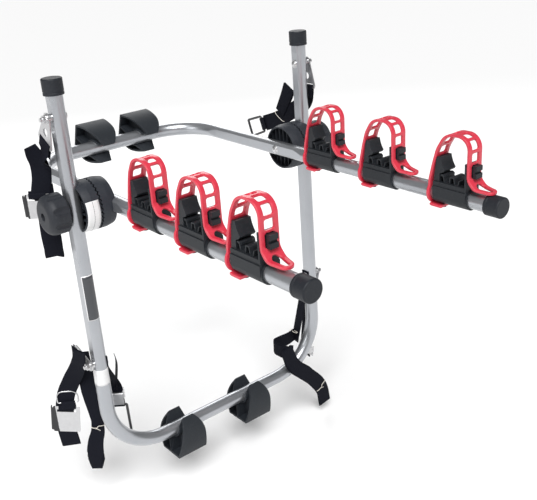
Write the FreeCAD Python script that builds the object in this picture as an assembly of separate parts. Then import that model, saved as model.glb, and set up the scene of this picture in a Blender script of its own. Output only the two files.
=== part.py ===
import FreeCAD, Part
import math
import os

# Three-bicycle carrier for the back of a car, in millimetres.
# The origin is the middle of the pivot axis between the two toothed hubs.
# +X is the right-hand post seen from behind the car, -Y is where the bicycle
# arms point, +Y is the car, +Z is up. Every piece is written at its rest place.

# Steel tubes
tube_radius = 15.9
tube_wall = 1.5
flat_half = 13.0
flat_ramp = 28.0

# Support frame: two posts joined by a lower bar
post_x = 295.0
post_tube_top = 248.0
lower_bar_z = -583.0
lower_bend_radius = 130.0
post_flat_top = 205.0
post_flat_bottom = -372.0

# Arm frame: two arms joined by a rear bar
arm_x = 223.0
arm_tube_end_y = -602.0
rear_bar_y = 366.0
rear_bend_radius = 112.0
arm_flat_rear = 228.0
arm_flat_front = -62.0

# End caps
cap_wall = 3.6
cap_depth = 27.0
cap_end = 3.4
cap_edge = 2.6

# Toothed hubs on the pivot axis
hub_radius = 51.0
hub_mouth_radius = 48.0
hub_wall = 3.2
hub_plate = 4.0
hub_straight = 17.0
hub_overlap = 9.0
hub_boss_radius = 13.0
hub_rib = 2.2
hub_rib_pitch = 13.0
tooth_count = 36
tooth_height = 3.2
tooth_inner_radius = 39.0
tip_gap = 0.3

# Pivot bolts, their washers and the clamping knobs
pivot_radius = 5.0
pivot_hole = 5.3
pivot_head_radius = 9.5
pivot_head_height = 4.6
knob_washer_radius = 15.5
knob_washer = 2.0
knob_radius = 40.0
knob_length = 47.0
knob_lobes = 8
flute_radius = 9.0
flute_depth = 3.6
knob_recess_radius = 8.0
knob_recess_depth = 9.0
insert_half_width = 8.5
insert_depth = 9.0
running_gap = 0.06
face_gap = 0.3

# Strap anchors: bolt, spacer, plate and nut through each post
anchor_z = {"upper": 180.0, "lower": -340.0}
anchor_radius = 4.0
anchor_hole = 4.2
anchor_head_radius = 8.0
anchor_head_height = 4.4
spacer_radius = 7.5
spacer_length = 7.0
plate_thickness = 2.5
plate_drop = 60.0
plate_lean = {"upper_left": 28.0, "upper_right": 0.0, "lower_left": 92.0, "lower_right": 30.0}
plate_width = 52.0
plate_eye_radius = 11.5
plate_corner = 7.0
plate_window_radius = 8.0
slot_width = 41.0
slot_height = 6.0
slot_bar = 6.0
washer_radius = 9.0
washer_thickness = 1.6
nut_half_width = 6.5
nut_height = 6.5
thread_end = 4.5

# Cradles on the arms: places of their middles along each arm
cradle_y = {"left": (-158.0, -315.0, -461.0), "right": (-144.0, -311.0, -490.0)}
sleeve_gap = 0.1
sleeve_wall = 3.5
cradle_car_end = 33.5
cradle_front_end = 50.0
cradle_half_width = 20.0
cradle_sleeve_end = 27.0
block_half_width = 15.5
block_top = 72.0
cheek_inset = 2.0
cheek_top = 70.0
cheek_thickness = 3.6
floor_top = 25.0
peg_half_width = 8.5
peg_middle_z = 55.0
peg_neck_height = 13.0
peg_head_height = 23.0
peg_head_length = 9.0
peg_neck_inset = 1.5

# Ladder straps of red rubber
rubber_width = 36.0
rubber_thickness = 5.0
rubber_gap = 0.3
strap_low_bend = 12.0
strap_lean_z = 24.0
arch_top = 117.0
arch_front = -51.5
rung_hole_width = 19.0
rung_hole_length = 17.5
rung_hole_corner = 3.0
rung_pitch = 22.6
rung_count = 6
hook_hole_width = 20.0
hook_hole_length = 24.0
ring_half_width = 23.0
tab_end = -98.0
tab_end_radius = 13.0
finger_wide_radius = 9.0
finger_wide_y = -67.0
finger_point_radius = 5.0
finger_point_y = -87.0
button_radius = 3.0
button_head_radius = 5.5

# Pads that clip on the two bars and rest on the car
pad_length = 76.0
pad_base_half = 33.0
pad_lip_half = 25.0
pad_base_reach = 60.0
pad_lip_reach = 33.0
pad_wall = 4.0
pad_gap = 0.25
pad_flare = 1.6
pad_flare_length = 18.0
pad_lip_opening = 13.6
pad_bulge_half = 38.5
pad_bulge_reach = 14.0
pad_shoulder = 16.0
pad_tip_high = 16.0
pad_tip_low = -11.0
pad_lip_plate = 3.0
pad_web = 2.4
pad_web_x = 12.0
lower_pad_x = {"left": -118.0, "right": 76.0}
upper_pad_x = {"left": -35.0, "right": 88.0}
upper_pad_tilt = 22.0

# Webbing, its hooks and buckles
web_width = 38.0
web_thickness = 1.6
web_gap = 0.2
side_web_width = 25.0
hook_thickness = 2.0
hook_slot_top = 8.0
hook_lip = 5.0
cam_radius = 5.0
cam_pin_radius = 2.0
cam_gap = 0.4
cam_tongue = 24.0
web_right = (0.79, -0.61, 0)
buckle_plate = 1.6
ring_bend = 1.2
ring_wire = 3.0

# Routes of the webbing: hand-picked points, distances along each strap's upright plane and heights.
# The two left-hand straps hang in planes through the places below, turned as web_right says.
upper_left_hang = (-335.0, 68.0)
upper_left_long = [(26.0, 128.0), (18.0, 78.0), (14.0, 30.0), (14.0, -108.0)]
upper_left_short = [(-2.0, 118.0), (10.0, 84.0), (4.0, 30.0)]
upper_left_turn = (62.0, 84.0)
upper_left_hook = (2.0, 26.0)
upper_left_hook_size = 50.0
lower_left_hang = (-330.0, 78.0)
lower_left_outer = [(34.0, -322.0), (8.0, -390.0), (-20.0, -445.0), (-30.0, -510.0), (-26.0, -572.0)]
lower_left_inner = [(30.0, -336.0), (34.0, -440.0), (39.0, -525.0), (26.0, -575.0), (20.0, -641.0)]
lower_left_hook = (-21.0, -466.0)
lower_left_hook_width = 58.0
lower_left_hook_height = 65.0
lower_left_hook_lean = 7.0
lower_left_ring = (-15.0, -428.0)
lower_left_ring_wire = 1.6
lower_left_ring_drop = 28.0
upper_right_run = [(2.0, 118.0), (8.0, 90.0), (46.0, 66.0), (107.0, 34.0), (174.0, 9.8)]
upper_right_fold = [(68.0, 112.0), (107.0, 46.0)]
lower_right_lean = 9.0
lower_right_length = 212.0
lower_right_buckle = 24.0
side_left_seat = (-248.9, 36.5, -438.0)
side_left_ring_drop = 46.0
side_left_tail = [(0, -438.0), (6.0, -393.0), (10.0, -359.0)]
side_right_foot = (268.0, 38.0, -532.0)
side_right_wrap = [(276.0, 42.0), (236.0, 30.0), (180.0, 30.0), (180.0, -25.0), (212.0, -25.0)]
side_right_wrap_z = -512.0
side_right_front = [(184.0, -500.0), (206.0, -556.0), (260.0, -612.0), (292.0, -655.0), (302.0, -712.0)]
side_right_front_y = -25.0

V = FreeCAD.Vector
X_AXIS = V(1, 0, 0)
Z_AXIS = V(0, 0, 1)
SIDES = {"left": -1, "right": 1}

nodes = {}


def box(x_low, x_high, y_low, y_high, z_low, z_high):
    """Block between two corners."""
    size = (x_high - x_low, y_high - y_low, z_high - z_low)
    return Part.makeBox(*size, V(x_low, y_low, z_low))


def rod(radius, start, end):
    """Cylinder from one point to another."""
    way = V(*end) - V(*start)
    return Part.makeCylinder(radius, way.Length, V(*start), way)


def joined(shapes):
    """One clean solid out of overlapping shapes."""
    return shapes[0].multiFuse(shapes[1:]).removeSplitter() if len(shapes) > 1 else shapes[0]


def placed(shape, origin, across, up):
    """Copy of a shape drawn on local X, Y, Z, moved so X runs along across and Y along up."""
    first = V(*across).normalize()
    second = V(*up).normalize()
    third = first.cross(second)
    matrix = FreeCAD.Matrix(
        first.x, second.x, third.x, origin[0],
        first.y, second.y, third.y, origin[1],
        first.z, second.z, third.z, origin[2],
        0, 0, 0, 1,
    )
    copy = shape.copy()
    copy.Placement = FreeCAD.Placement(matrix)
    return copy


def corner(before, at, after, radius):
    """Where a rounded corner starts and ends, its centre and which way it turns."""
    into = (at - before).normalize()
    out = (after - at).normalize()
    turn = math.atan2(into.x * out.y - into.y * out.x, into.dot(out))
    reach = radius * math.tan(abs(turn) / 2)
    hand = 1 if turn > 0 else -1
    normal = V(-into.y, into.x, 0) * hand
    start = at - into * reach
    end = at + out * reach
    return start, end, start + normal * radius, hand, abs(turn)


def path_pieces(points, radii):
    """Straight runs and tangent arcs of a flat path, each as its two ends and its arc data."""
    spots = [V(p[0], p[1], 0) for p in points]
    pieces = []
    last = spots[0]
    for i in range(1, len(spots) - 1):
        start, end, centre, hand, turn = corner(spots[i - 1], spots[i], spots[i + 1], radii[i - 1])
        if (start - last).Length > 1e-6:
            pieces.append((last, start, None, 0, 0))
        pieces.append((start, end, centre, hand, turn))
        last = end
    pieces.append((last, spots[-1], None, 0, 0))
    return pieces


def station(pieces, distance):
    """Point and slope in degrees at a distance along a path."""
    left = distance
    for start, end, centre, hand, turn in pieces:
        radius = 0 if centre is None else (start - centre).Length
        run = (end - start).Length if centre is None else radius * turn
        if left > run and end is not pieces[-1][1]:
            left -= run
            continue
        if centre is None:
            way = (end - start).normalize()
            return start + way * left, math.degrees(math.atan2(way.y, way.x))
        turned = FreeCAD.Rotation(Z_AXIS, math.degrees(hand * left / radius))
        spoke = turned.multVec(start - centre)
        way = Z_AXIS.cross(spoke) * hand
        return centre + spoke, math.degrees(math.atan2(way.y, way.x))


def distance_to(pieces, spot):
    """Distance along a path to a point that lies on one of its straight runs."""
    gone = 0
    for start, end, centre, hand, turn in pieces:
        if centre is not None:
            gone += (start - centre).Length * turn
            continue
        run = (end - start).Length
        along = (spot - start).dot((end - start).normalize())
        if 0 <= along <= run and (start + (end - start).normalize() * along - spot).Length < 1e-6:
            return gone + along
        gone += run
    raise ValueError("the point is not on the path")


def side_edges(pieces, shift):
    """Edges of a path moved sideways by shift, to the left of travel when positive."""
    edges = []
    for start, end, centre, hand, turn in pieces:
        if centre is None:
            way = (end - start).normalize()
            normal = V(-way.y, way.x, 0) * shift
            edges.append(Part.LineSegment(start + normal, end + normal).toShape())
            continue
        radius = (start - centre).Length
        scale = (radius - hand * shift) / radius
        a = centre + (start - centre) * scale
        b = centre + (end - centre) * scale
        middle_way = FreeCAD.Rotation(Z_AXIS, math.degrees(hand * turn / 2)).multVec(a - centre)
        edges.append(Part.Arc(a, centre + middle_way, b).toShape())
    return edges


def ribbon(points, radii, thickness, width):
    """Flat strip that follows a path drawn in the local XY plane, with its width along local Z."""
    pieces = path_pieces(points, radii)
    left = side_edges(pieces, thickness / 2)
    right = side_edges(pieces, -thickness / 2)
    first = Part.LineSegment(right[0].Vertexes[0].Point, left[0].Vertexes[0].Point).toShape()
    last = Part.LineSegment(left[-1].Vertexes[-1].Point, right[-1].Vertexes[-1].Point).toShape()
    wire = Part.Wire(Part.__sortEdges__(left + right + [first, last]))
    face = Part.Face(wire)
    face.translate(V(0, 0, -width / 2))
    return face.extrude(V(0, 0, width))


def bent_rod(points, radii, radius):
    """Round bar along a flat path: cylinders on the runs and torus pieces in the bends."""
    solids = []
    for start, end, centre, hand, turn in path_pieces(points, radii):
        if centre is None:
            solids.append(rod(radius, tuple(start), tuple(end)))
            continue
        way = (start - centre).cross(Z_AXIS)
        disc = Part.Face(Part.Wire(Part.makeCircle(radius, start, way)))
        solids.append(disc.revolve(centre, Z_AXIS * hand, math.degrees(turn)))
    return joined(solids)


def pressed_away(middle, half, low, high, reach):
    """Pair of wedges outside a flat-sided stretch, drawn with the tube along local Y."""
    wedges = []
    for hand in (-1, 1):
        outline = [
            (middle + hand * tube_radius, low - flat_ramp),
            (middle + hand * (tube_radius + reach), low - flat_ramp),
            (middle + hand * (tube_radius + reach), high + flat_ramp),
            (middle + hand * tube_radius, high + flat_ramp),
            (middle + hand * half, high),
            (middle + hand * half, low),
        ]
        corners = [V(x, y, -reach) for x, y in outline]
        face = Part.Face(Part.makePolygon(corners + corners[:1]))
        wedges.append(face.extrude(V(0, 0, 2 * reach)))
    return wedges


def frame_tube(half_width, end, bar, bend_radius, flat_low, flat_high):
    """U-shaped hollow tube drawn flat: legs along local Y at plus and minus half_width."""
    reach = 3 * tube_radius
    points = [(-half_width, end), (-half_width, bar), (half_width, bar), (half_width, end)]
    radii = [bend_radius, bend_radius]
    inner_radius = tube_radius - tube_wall
    outer = bent_rod(points, radii, tube_radius)
    inner = bent_rod(points, radii, inner_radius)
    for middle in (-half_width, half_width):
        outer = outer.cut(pressed_away(middle, flat_half, flat_low, flat_high, reach))
        inner_half = flat_half - tube_wall
        inner = inner.cut(pressed_away(middle, inner_half, flat_low, flat_high, reach))
    return outer.cut(inner)


def hollow_rod(outer, inner, start, end):
    """Washer, bush or sleeve between two points."""
    return rod(outer, start, end).cut(rod(inner, start, end))


def make_frames():
    """The two U-shaped tubes with the holes for the bolts that cross them."""
    flat = (post_flat_bottom, post_flat_top)
    tube = frame_tube(post_x, post_tube_top, lower_bar_z, lower_bend_radius, *flat)
    posts = placed(tube, (0, 0, 0), (1, 0, 0), (0, 0, 1))
    reach = 2 * tube_radius
    for side in SIDES.values():
        low = (side * post_x - reach, 0, 0)
        high = (side * post_x + reach, 0, 0)
        posts = posts.cut(rod(pivot_hole, low, high))
        for height in anchor_z.values():
            low = (side * post_x - reach, 0, height)
            high = (side * post_x + reach, 0, height)
            posts = posts.cut(rod(anchor_hole, low, high))
    nodes["post_frame_tube"] = posts
    flat = (arm_flat_front, arm_flat_rear)
    arms = frame_tube(arm_x, arm_tube_end_y, rear_bar_y, rear_bend_radius, *flat)
    for side in SIDES.values():
        low = (side * arm_x - reach, 0, 0)
        high = (side * arm_x + reach, 0, 0)
        arms = arms.cut(rod(pivot_radius + running_gap, low, high))
    nodes["arm_frame_tube"] = arms


def end_cap():
    """Cup that slides over a tube's end, mouth at local Z 0 and closed end upwards."""
    outer_radius = tube_radius + cap_wall
    body = Part.makeCylinder(outer_radius, cap_depth + cap_end)
    top = [e for e in body.Edges if abs(e.CenterOfMass.z - cap_depth - cap_end) < 1e-6]
    body = body.makeFillet(cap_edge, top)
    grip = Part.makeTorus(outer_radius + 1.0, 1.6, V(0, 0, cap_depth * 0.2), Z_AXIS)
    return body.cut(Part.makeCylinder(tube_radius + 0.05, cap_depth)).cut(grip)


def make_caps():
    """Black caps on the tops of the posts and on the ends of the arms."""
    cap = end_cap()
    for name, side in SIDES.items():
        top = (side * post_x, 0, post_tube_top - cap_depth)
        nodes["post_cap_" + name] = placed(cap, top, (1, 0, 0), (0, 1, 0))
        tip = (side * arm_x, arm_tube_end_y + cap_depth, 0)
        nodes["arm_cap_" + name] = placed(cap, tip, (1, 0, 0), (0, 0, 1))


def tooth_ring(phase):
    """Wedges to cut out of a hub's face so that radial teeth stay, around local Z at Z 0."""
    pitch = 2 * math.pi / tooth_count
    wedges = []
    for i in range(tooth_count):
        angle = (i + phase) * pitch
        rings = []
        for radius in (tooth_inner_radius - 1.0, hub_radius + 1.0):
            half = radius * math.tan(pitch / 2)
            out = V(math.cos(angle), math.sin(angle), 0)
            across = V(-math.sin(angle), math.cos(angle), 0)
            base = out * radius + V(0, 0, 0.01)
            tip = out * radius - V(0, 0, tooth_height)
            left, right = base - across * half, base + across * half
            rings.append(Part.makePolygon([left, right, tip, left]))
        wedges.append(Part.makeLoft(rings, True, True))
    return wedges


def hub_half(length, phase):
    """Cup with a toothed face at local Z 0, hollow and ribbed towards -Z, where a tube lies across it."""
    mouth = -(length + hub_overlap)
    lower = -hub_straight
    bulge_z = (lower + mouth) / 2 + 2.0
    bulge_radius = hub_radius - (hub_radius - hub_mouth_radius) * 0.3
    roof = -(tooth_height + hub_plate)

    def cup(top, inset):
        """Round solid from top down to the mouth, its wall moved inwards by inset."""
        wall = V(hub_radius - inset, 0, lower)
        bulge = V(bulge_radius - inset, 0, bulge_z)
        rim = V(hub_mouth_radius - inset, 0, mouth)
        edges = [
            Part.LineSegment(V(0, 0, top), V(wall.x, 0, top)).toShape(),
            Part.LineSegment(V(wall.x, 0, top), wall).toShape(),
            Part.Arc(wall, bulge, rim).toShape(),
            Part.LineSegment(rim, V(0, 0, mouth)).toShape(),
            Part.LineSegment(V(0, 0, mouth), V(0, 0, top)).toShape(),
        ]
        return Part.Face(Part.Wire(edges)).revolve(V(0, 0, 0), Z_AXIS, 360)

    body = cup(0, 0)
    cavity = cup(roof, hub_wall)
    keep = [Part.makeCylinder(hub_boss_radius, length, V(0, 0, -length))]
    for i in range(-3, 4):
        keep.append(box(i * hub_rib_pitch - hub_rib / 2, i * hub_rib_pitch + hub_rib / 2,
                        -hub_radius, hub_radius, -length, 0))
    cavity = cavity.cut(keep)
    body = body.cut(cavity)
    clear = tube_radius + 0.15
    reach = hub_radius * 2
    tube_z = -length - flat_half
    channel = rod(clear, (-reach, 0, tube_z), (reach, 0, tube_z))
    channel = channel.fuse(box(-reach, reach, -clear, clear, tube_z - reach, tube_z))
    beyond_flat = box(-reach, reach, -clear, clear, tube_z - reach, -length)
    body = body.cut(channel.common(beyond_flat))
    centre_hole = Part.makeCylinder(pivot_hole, length * 3, V(0, 0, -length * 2))
    recess = Part.makeCylinder(tooth_inner_radius, tooth_height + 0.01, V(0, 0, -tooth_height))
    return body.cut([centre_hole, recess]).cut(tooth_ring(phase))


def make_hubs():
    """Outer halves on the posts and inner halves on the arms, teeth facing each other."""
    inner_flat = arm_x + flat_half
    outer_flat = post_x - flat_half
    tip_plane = (inner_flat + outer_flat) / 2
    length = (outer_flat - inner_flat - tip_gap) / 2
    on_arm = hub_half(length, 0.0)
    on_post = hub_half(length, 0.5)
    for name, side in SIDES.items():
        at_arm = (side * (tip_plane - tip_gap / 2), 0, 0)
        at_post = (side * (tip_plane + tip_gap / 2), 0, 0)
        nodes["hub_inner_" + name] = placed(on_arm, at_arm, (0, 1, 0), (0, 0, side))
        nodes["hub_outer_" + name] = placed(on_post, at_post, (0, 0, 1), (0, side, 0))


def hex_prism(half_width, length):
    """Hexagon bar from local Z 0 upwards, half_width across its flats."""
    reach = half_width / math.cos(math.pi / 6)
    corners = []
    for i in range(7):
        angle = i * math.pi / 3
        corners.append(V(reach * math.cos(angle), reach * math.sin(angle), 0))
    return Part.Face(Part.makePolygon(corners)).extrude(V(0, 0, length))


def dome(radius, height):
    """Low button head standing on local Z 0."""
    ball_radius = (radius ** 2 + height ** 2) / (2 * height)
    ball = Part.makeSphere(ball_radius, V(0, 0, height - ball_radius))
    return ball.common(Part.makeCylinder(radius, height))


def knob_body():
    """Fluted clamping knob along local Z, its back face at Z 0 with the insert's pocket in it."""
    radius = knob_radius
    length = knob_length
    face_radius = radius * 0.56
    outline = [
        (0, 0), (radius * 0.72, 0), (radius * 0.8, 3.5), (radius, 9.0),
        (radius, length * 0.66), (radius * 0.86, length * 0.9), (face_radius, length), (0, length),
    ]
    spots = [V(r, 0, z) for r, z in outline]
    edges = [Part.LineSegment(spots[i], spots[i + 1]).toShape() for i in range(3)]
    edges.append(Part.LineSegment(spots[3], spots[4]).toShape())
    edges.append(Part.Arc(spots[4], spots[5], spots[6]).toShape())
    edges.append(Part.LineSegment(spots[6], spots[7]).toShape())
    edges.append(Part.LineSegment(spots[7], spots[0]).toShape())
    body = Part.Face(Part.Wire(edges)).revolve(V(0, 0, 0), Z_AXIS, 360)
    cuts = []
    for i in range(knob_lobes):
        angle = (i + 0.5) * 2 * math.pi / knob_lobes
        away = radius + flute_radius - flute_depth
        centre = V(away * math.cos(angle), away * math.sin(angle), 6.0)
        cuts.append(Part.makeCylinder(flute_radius, length, centre))
    recess_foot = V(0, 0, length - knob_recess_depth)
    cuts.append(Part.makeCylinder(knob_recess_radius, knob_recess_depth, recess_foot))
    cuts.append(Part.makeCylinder(pivot_radius + 0.4, length - knob_recess_depth - 4.0))
    cuts.append(hex_prism(insert_half_width, insert_depth))
    return body.cut(cuts)


def make_pivots():
    """Bolts through arm, hub and post, with washers, and the knobs that clamp them."""
    head_x = arm_x - flat_half
    washer_x = post_x + flat_half
    knob_x = washer_x + knob_washer + face_gap
    bolt_end = knob_x + knob_length - knob_recess_depth - 6.0
    insert = hex_prism(insert_half_width, insert_depth)
    insert = insert.cut(Part.makeCylinder(pivot_radius + running_gap, insert_depth))
    bolts = []
    washers = []
    for name, side in SIDES.items():
        head = dome(pivot_head_radius, pivot_head_height)
        head = placed(head, (side * head_x, 0, 0), (0, 1, 0), (0, 0, -side))
        shank = rod(pivot_radius, (side * (head_x - 1.0), 0, 0), (side * bolt_end, 0, 0))
        bolts.append(joined([head, shank]))
        start = (side * washer_x, 0, 0)
        end = (side * (washer_x + knob_washer), 0, 0)
        washers.append(hollow_rod(knob_washer_radius, pivot_hole, start, end))
        back = (side * knob_x, 0, 0)
        nodes["knob_" + name] = placed(knob_body(), back, (0, 1, 0), (0, 0, side))
        nodes["knob_insert_" + name] = placed(insert, back, (0, 1, 0), (0, 0, side))
    nodes["pivot_bolts"] = Part.makeCompound(bolts)
    nodes["pivot_washers"] = Part.makeCompound(washers)


def anchor_plate():
    """Rounded triangle with a bolt eye at local 0, 0 and a webbing slot below, thickness along local Z."""
    low = -plate_drop
    half = plate_width / 2
    body = joined([
        Part.makeCylinder(plate_eye_radius, plate_thickness),
        Part.makeCylinder(plate_corner, plate_thickness, V(-half + plate_corner, low + plate_corner, 0)),
        Part.makeCylinder(plate_corner, plate_thickness, V(half - plate_corner, low + plate_corner, 0)),
        plate_web(half, low),
    ])
    slot_low = low + slot_bar
    slot = box(-slot_width / 2, slot_width / 2, slot_low, slot_low + slot_height, 0, plate_thickness)
    window = rod(plate_window_radius, (0, low * 0.52, 0), (0, low * 0.52, plate_thickness))
    eye = Part.makeCylinder(anchor_hole, plate_thickness)
    return body.cut([slot, window, eye])


def plate_web(half, low):
    """Flat between the three round corners of an anchor plate, its sides tangent to them."""
    run = V(half - plate_corner, low + plate_corner, 0)
    spread = math.asin((plate_eye_radius - plate_corner) / run.Length)
    lean = math.atan2(run.y, run.x) + math.pi / 2 - spread
    out = V(math.cos(lean), math.sin(lean), 0)
    right_top = out * plate_eye_radius
    right_low = run + out * plate_corner
    corners = [
        right_top, right_low, V(half - plate_corner, low, 0), V(-half + plate_corner, low, 0),
        V(-right_low.x, right_low.y, 0), V(-right_top.x, right_top.y, 0),
    ]
    return Part.Face(Part.makePolygon(corners + corners[:1])).extrude(V(0, 0, plate_thickness))


def plate_axes(label):
    """Directions across and up an anchor plate that hangs swung towards the car by its lean."""
    lean = math.radians(plate_lean[label])
    return (0, math.cos(lean), math.sin(lean)), (0, -math.sin(lean), math.cos(lean))


def plate_near():
    """Distance from the middle plane to the post side of an anchor plate."""
    return post_x + flat_half + spacer_length


def make_anchors():
    """Bolt, spacer, plate, washer and nut at both heights of both posts."""
    bolts = []
    nuts = []
    plate = anchor_plate()
    bore = anchor_radius + running_gap
    nut = hex_prism(nut_half_width, nut_height).cut(Part.makeCylinder(bore, nut_height))
    for level, height in anchor_z.items():
        for name, side in SIDES.items():
            inner = post_x - flat_half
            outer = post_x + flat_half
            near = plate_near()
            far = near + plate_thickness
            nut_x = far + washer_thickness
            head = dome(anchor_head_radius, anchor_head_height)
            seat_x = inner - web_thickness
            head = placed(head, (side * seat_x, 0, height), (0, 1, 0), (0, 0, -side))
            if level == "upper":
                start = (side * seat_x, 0, height)
                nuts.append(hollow_rod(washer_radius, bore, start, (side * inner, 0, height)))
            end = nut_x + nut_height + thread_end
            shank = rod(anchor_radius, (side * (seat_x - 1.0), 0, height), (side * end, 0, height))
            bolts.append(joined([head, shank]))
            nuts.append(hollow_rod(spacer_radius, bore, (side * outer, 0, height), (side * near, 0, height)))
            nuts.append(hollow_rod(washer_radius, bore, (side * far, 0, height), (side * nut_x, 0, height)))
            nuts.append(placed(nut, (side * nut_x, 0, height), (0, 1, 0), (0, 0, side)))
            label = level + "_" + name
            seat = (side * (near if side > 0 else far), 0, height)
            nodes["anchor_plate_" + label] = placed(plate, seat, *plate_axes(label))
    nodes["anchor_bolts"] = Part.makeCompound(bolts)
    nodes["anchor_nuts"] = Part.makeCompound(nuts)


def cradle_body():
    """Plastic saddle in local X across the arm, Y towards the car, Z up, on the arm's axis."""
    bore = tube_radius + sleeve_gap
    outer = bore + sleeve_wall
    front = -cradle_front_end
    half = cradle_half_width
    rear = cradle_sleeve_end
    sleeve = rod(outer, (0, front, 0), (0, rear, 0))
    cheek_front = front + cheek_inset
    base = box(-half, half, cheek_front, rear, -2.0, floor_top - 9.0)
    valley_floor = box(-half + 2.0, half - 2.0, cheek_front, rear, -2.0, floor_top)
    rear_side = [
        (14.0, -2.0), (rear, -2.0), (rear, floor_top), (block_back(), block_top - 6.0),
        (block_back() - 2.5, block_top), (12.0, block_top),
    ]
    valley_side = [(2.0, 49.0), (5.0, 45.0), (14.0, 41.0), (14.0, -2.0)]
    edges = [straight(rear_side[i], rear_side[i + 1]) for i in range(len(rear_side) - 1)]
    edges.append(Part.Arc(V(0, *rear_side[-1]), V(0, 8.6, 60.0), V(0, *valley_side[0])).toShape())
    edges += [straight(valley_side[i], valley_side[i + 1]) for i in range(len(valley_side) - 1)]
    face = Part.Face(Part.Wire(edges))
    face.translate(V(-block_half_width, 0, 0))
    block = face.extrude(V(2 * block_half_width, 0, 0))
    ledge_half = block_half_width - 2.0
    ledge = box(-ledge_half, ledge_half, 2.0, 15.0, 35.5, 38.5)
    cheek = box(-half + 1.5, half - 1.5, cheek_front, cheek_front + cheek_thickness, 0, cheek_top)
    neck_half = peg_half_width - peg_neck_inset
    peg_neck = box(
        -neck_half, neck_half, peg_head_y() - 2.0, cheek_front + 1.0,
        peg_middle_z - peg_neck_height / 2, peg_middle_z + peg_neck_height / 2,
    )
    peg_head = box(
        -peg_half_width, peg_half_width, peg_head_y() - peg_head_length, peg_head_y(),
        peg_middle_z - peg_head_height / 2, peg_middle_z + peg_head_height / 2,
    )
    groove = box(
        -half, half, peg_head_y() - peg_head_length, peg_head_y() - peg_head_length + 4.0,
        peg_middle_z - 2.5, peg_middle_z + 2.5,
    )
    button_y = button_middle()
    button = rod(button_radius, (0, button_y, -outer + 1.5), (0, button_y, -band_low() - 1.0))
    button_head = rod(
        button_head_radius, (0, button_y, -band_low() - rubber_gap), (0, button_y, -band_low() - 2.6),
    )
    parts = [sleeve, base, valley_floor, block, ledge, cheek]
    parts += [peg_neck, peg_head.cut(groove), button, button_head]
    body = joined(parts).cut(rod(bore, (0, front - 1.0, 0), (0, rear + 1.0, 0)))
    return joined([body.cut(strap_bend_room()), soft_rib()])


def straight(start, end):
    """Straight edge between two places given as Y and Z, in the plane of local X 0."""
    return Part.LineSegment(V(0, *start), V(0, *end)).toShape()


def strap_bend_room():
    """What to take off the cradle's lower car-side edge, where the strap bends upwards."""
    under, beside = strap_points()[0][1], strap_points()[1][0]
    centre_y = beside - strap_low_bend
    centre_z = under + strap_low_bend
    half = cradle_half_width + 1.0
    room = box(-half, half, centre_y, beside, under, centre_z)
    stay = strap_low_bend - rubber_thickness / 2 - rubber_gap
    return room.cut(rod(stay, (-half, centre_y, centre_z), (half, centre_y, centre_z)))


def block_back():
    """Car side of the block's top, just inside the strap that leans over it."""
    return strap_hinge()[0] - rubber_thickness / 2 - rubber_gap - 2.9


def soft_rib():
    """Wavy springy rib on the valley's floor that a bicycle tube presses on."""
    low = floor_top - 0.5
    high = floor_top + 13.0
    points = [
        (11.0, high + 1.0), (6.0, high + 1.0), (3.0, low), (-8.0, low), (-10.0, high), (-18.0, high),
        (-20.5, low), (-27.0, low), (-30.0, high - 3.0),
    ]
    strip = ribbon(points, [2.0, 2.2, 2.2, 2.2, 2.2, 2.2, 2.2], 2.2, 2 * cradle_half_width - 10.0)
    return placed(strip, (0, 0, 0), (0, 1, 0), (0, 0, 1))


def band_low():
    """Depth of the rubber band's lower face under the arm's axis."""
    return tube_radius + sleeve_gap + sleeve_wall + rubber_gap + rubber_thickness


def strap_points():
    """Middle line of the rubber strap beside a cradle: towards the car, then up, over and down."""
    under = -(band_low() - rubber_thickness / 2)
    beside = cradle_car_end + rubber_gap + rubber_thickness / 2
    return [
        (8.0, under), (beside, under), (beside, strap_lean_z), strap_hinge(), strap_bend(), (19.0, 87.0),
        (0.0, arch_top), (arch_front, arch_top), (strap_front(), 84.0), (strap_front(), 40.0),
        (strap_front() - 13.0, 25.6), (tab_end, 22.6),
    ]


def strap_hinge():
    """Where the strap starts to bend when it is pulled open, behind the cradle's tall block."""
    return (28.2, 56.0)


def strap_bend():
    """Point just above the hinge, in line with the strap's run below it."""
    beside = cradle_car_end + rubber_gap + rubber_thickness / 2
    low = V(beside, strap_lean_z, 0)
    hinge = V(*strap_hinge(), 0)
    spot = hinge + (hinge - low).normalize() * 5.0
    return (spot.x, spot.y)


def strap_front():
    """Middle line of the strap's front run, which lies on the cradle's thin cheek."""
    return -(cradle_front_end - cheek_inset + rubber_gap + rubber_thickness / 2)


def peg_head_y():
    """Car side of the peg's head, just in front of the strap."""
    return strap_front() - rubber_thickness / 2 - rubber_gap


def strap_hole(middle, lean, length, width):
    """Rounded window through the strap: lean is the strap's own slope in degrees."""
    block = box(-width / 2, width / 2, -length / 2, length / 2, -rubber_thickness, rubber_thickness)
    upright = [e for e in block.Edges if abs(e.tangentAt(e.FirstParameter).z) > 0.9]
    block = block.makeFillet(rung_hole_corner, upright)
    slope = math.radians(lean)
    return placed(block, (0, middle.x, middle.y), (1, 0, 0), (0, math.cos(slope), math.sin(slope)))


def strap_band():
    """Fixed part of the strap: under the cradle, round the arm tube as a ring, and up behind the block."""
    points = strap_points()[:4]
    strip = ribbon(points, [strap_low_bend, 60.0], rubber_thickness, rubber_width)
    body = placed(strip, (0, 0, 0), (0, 1, 0), (0, 0, 1))
    inner = points[1][0] - rubber_thickness / 2
    outer = inner + rubber_thickness
    ring = rod(ring_half_width, (0, inner, 0), (0, outer, 0))
    tube_way = rod(tube_radius + rubber_gap, (0, inner - ring_half_width, 0), (0, outer + 1.0, 0))
    button_y = button_middle()
    button_way = rod(button_radius + rubber_gap, (0, button_y, -band_low() - 1.0), (0, button_y, 0))
    return joined([body, ring]).cut([tube_way, button_way])


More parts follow.
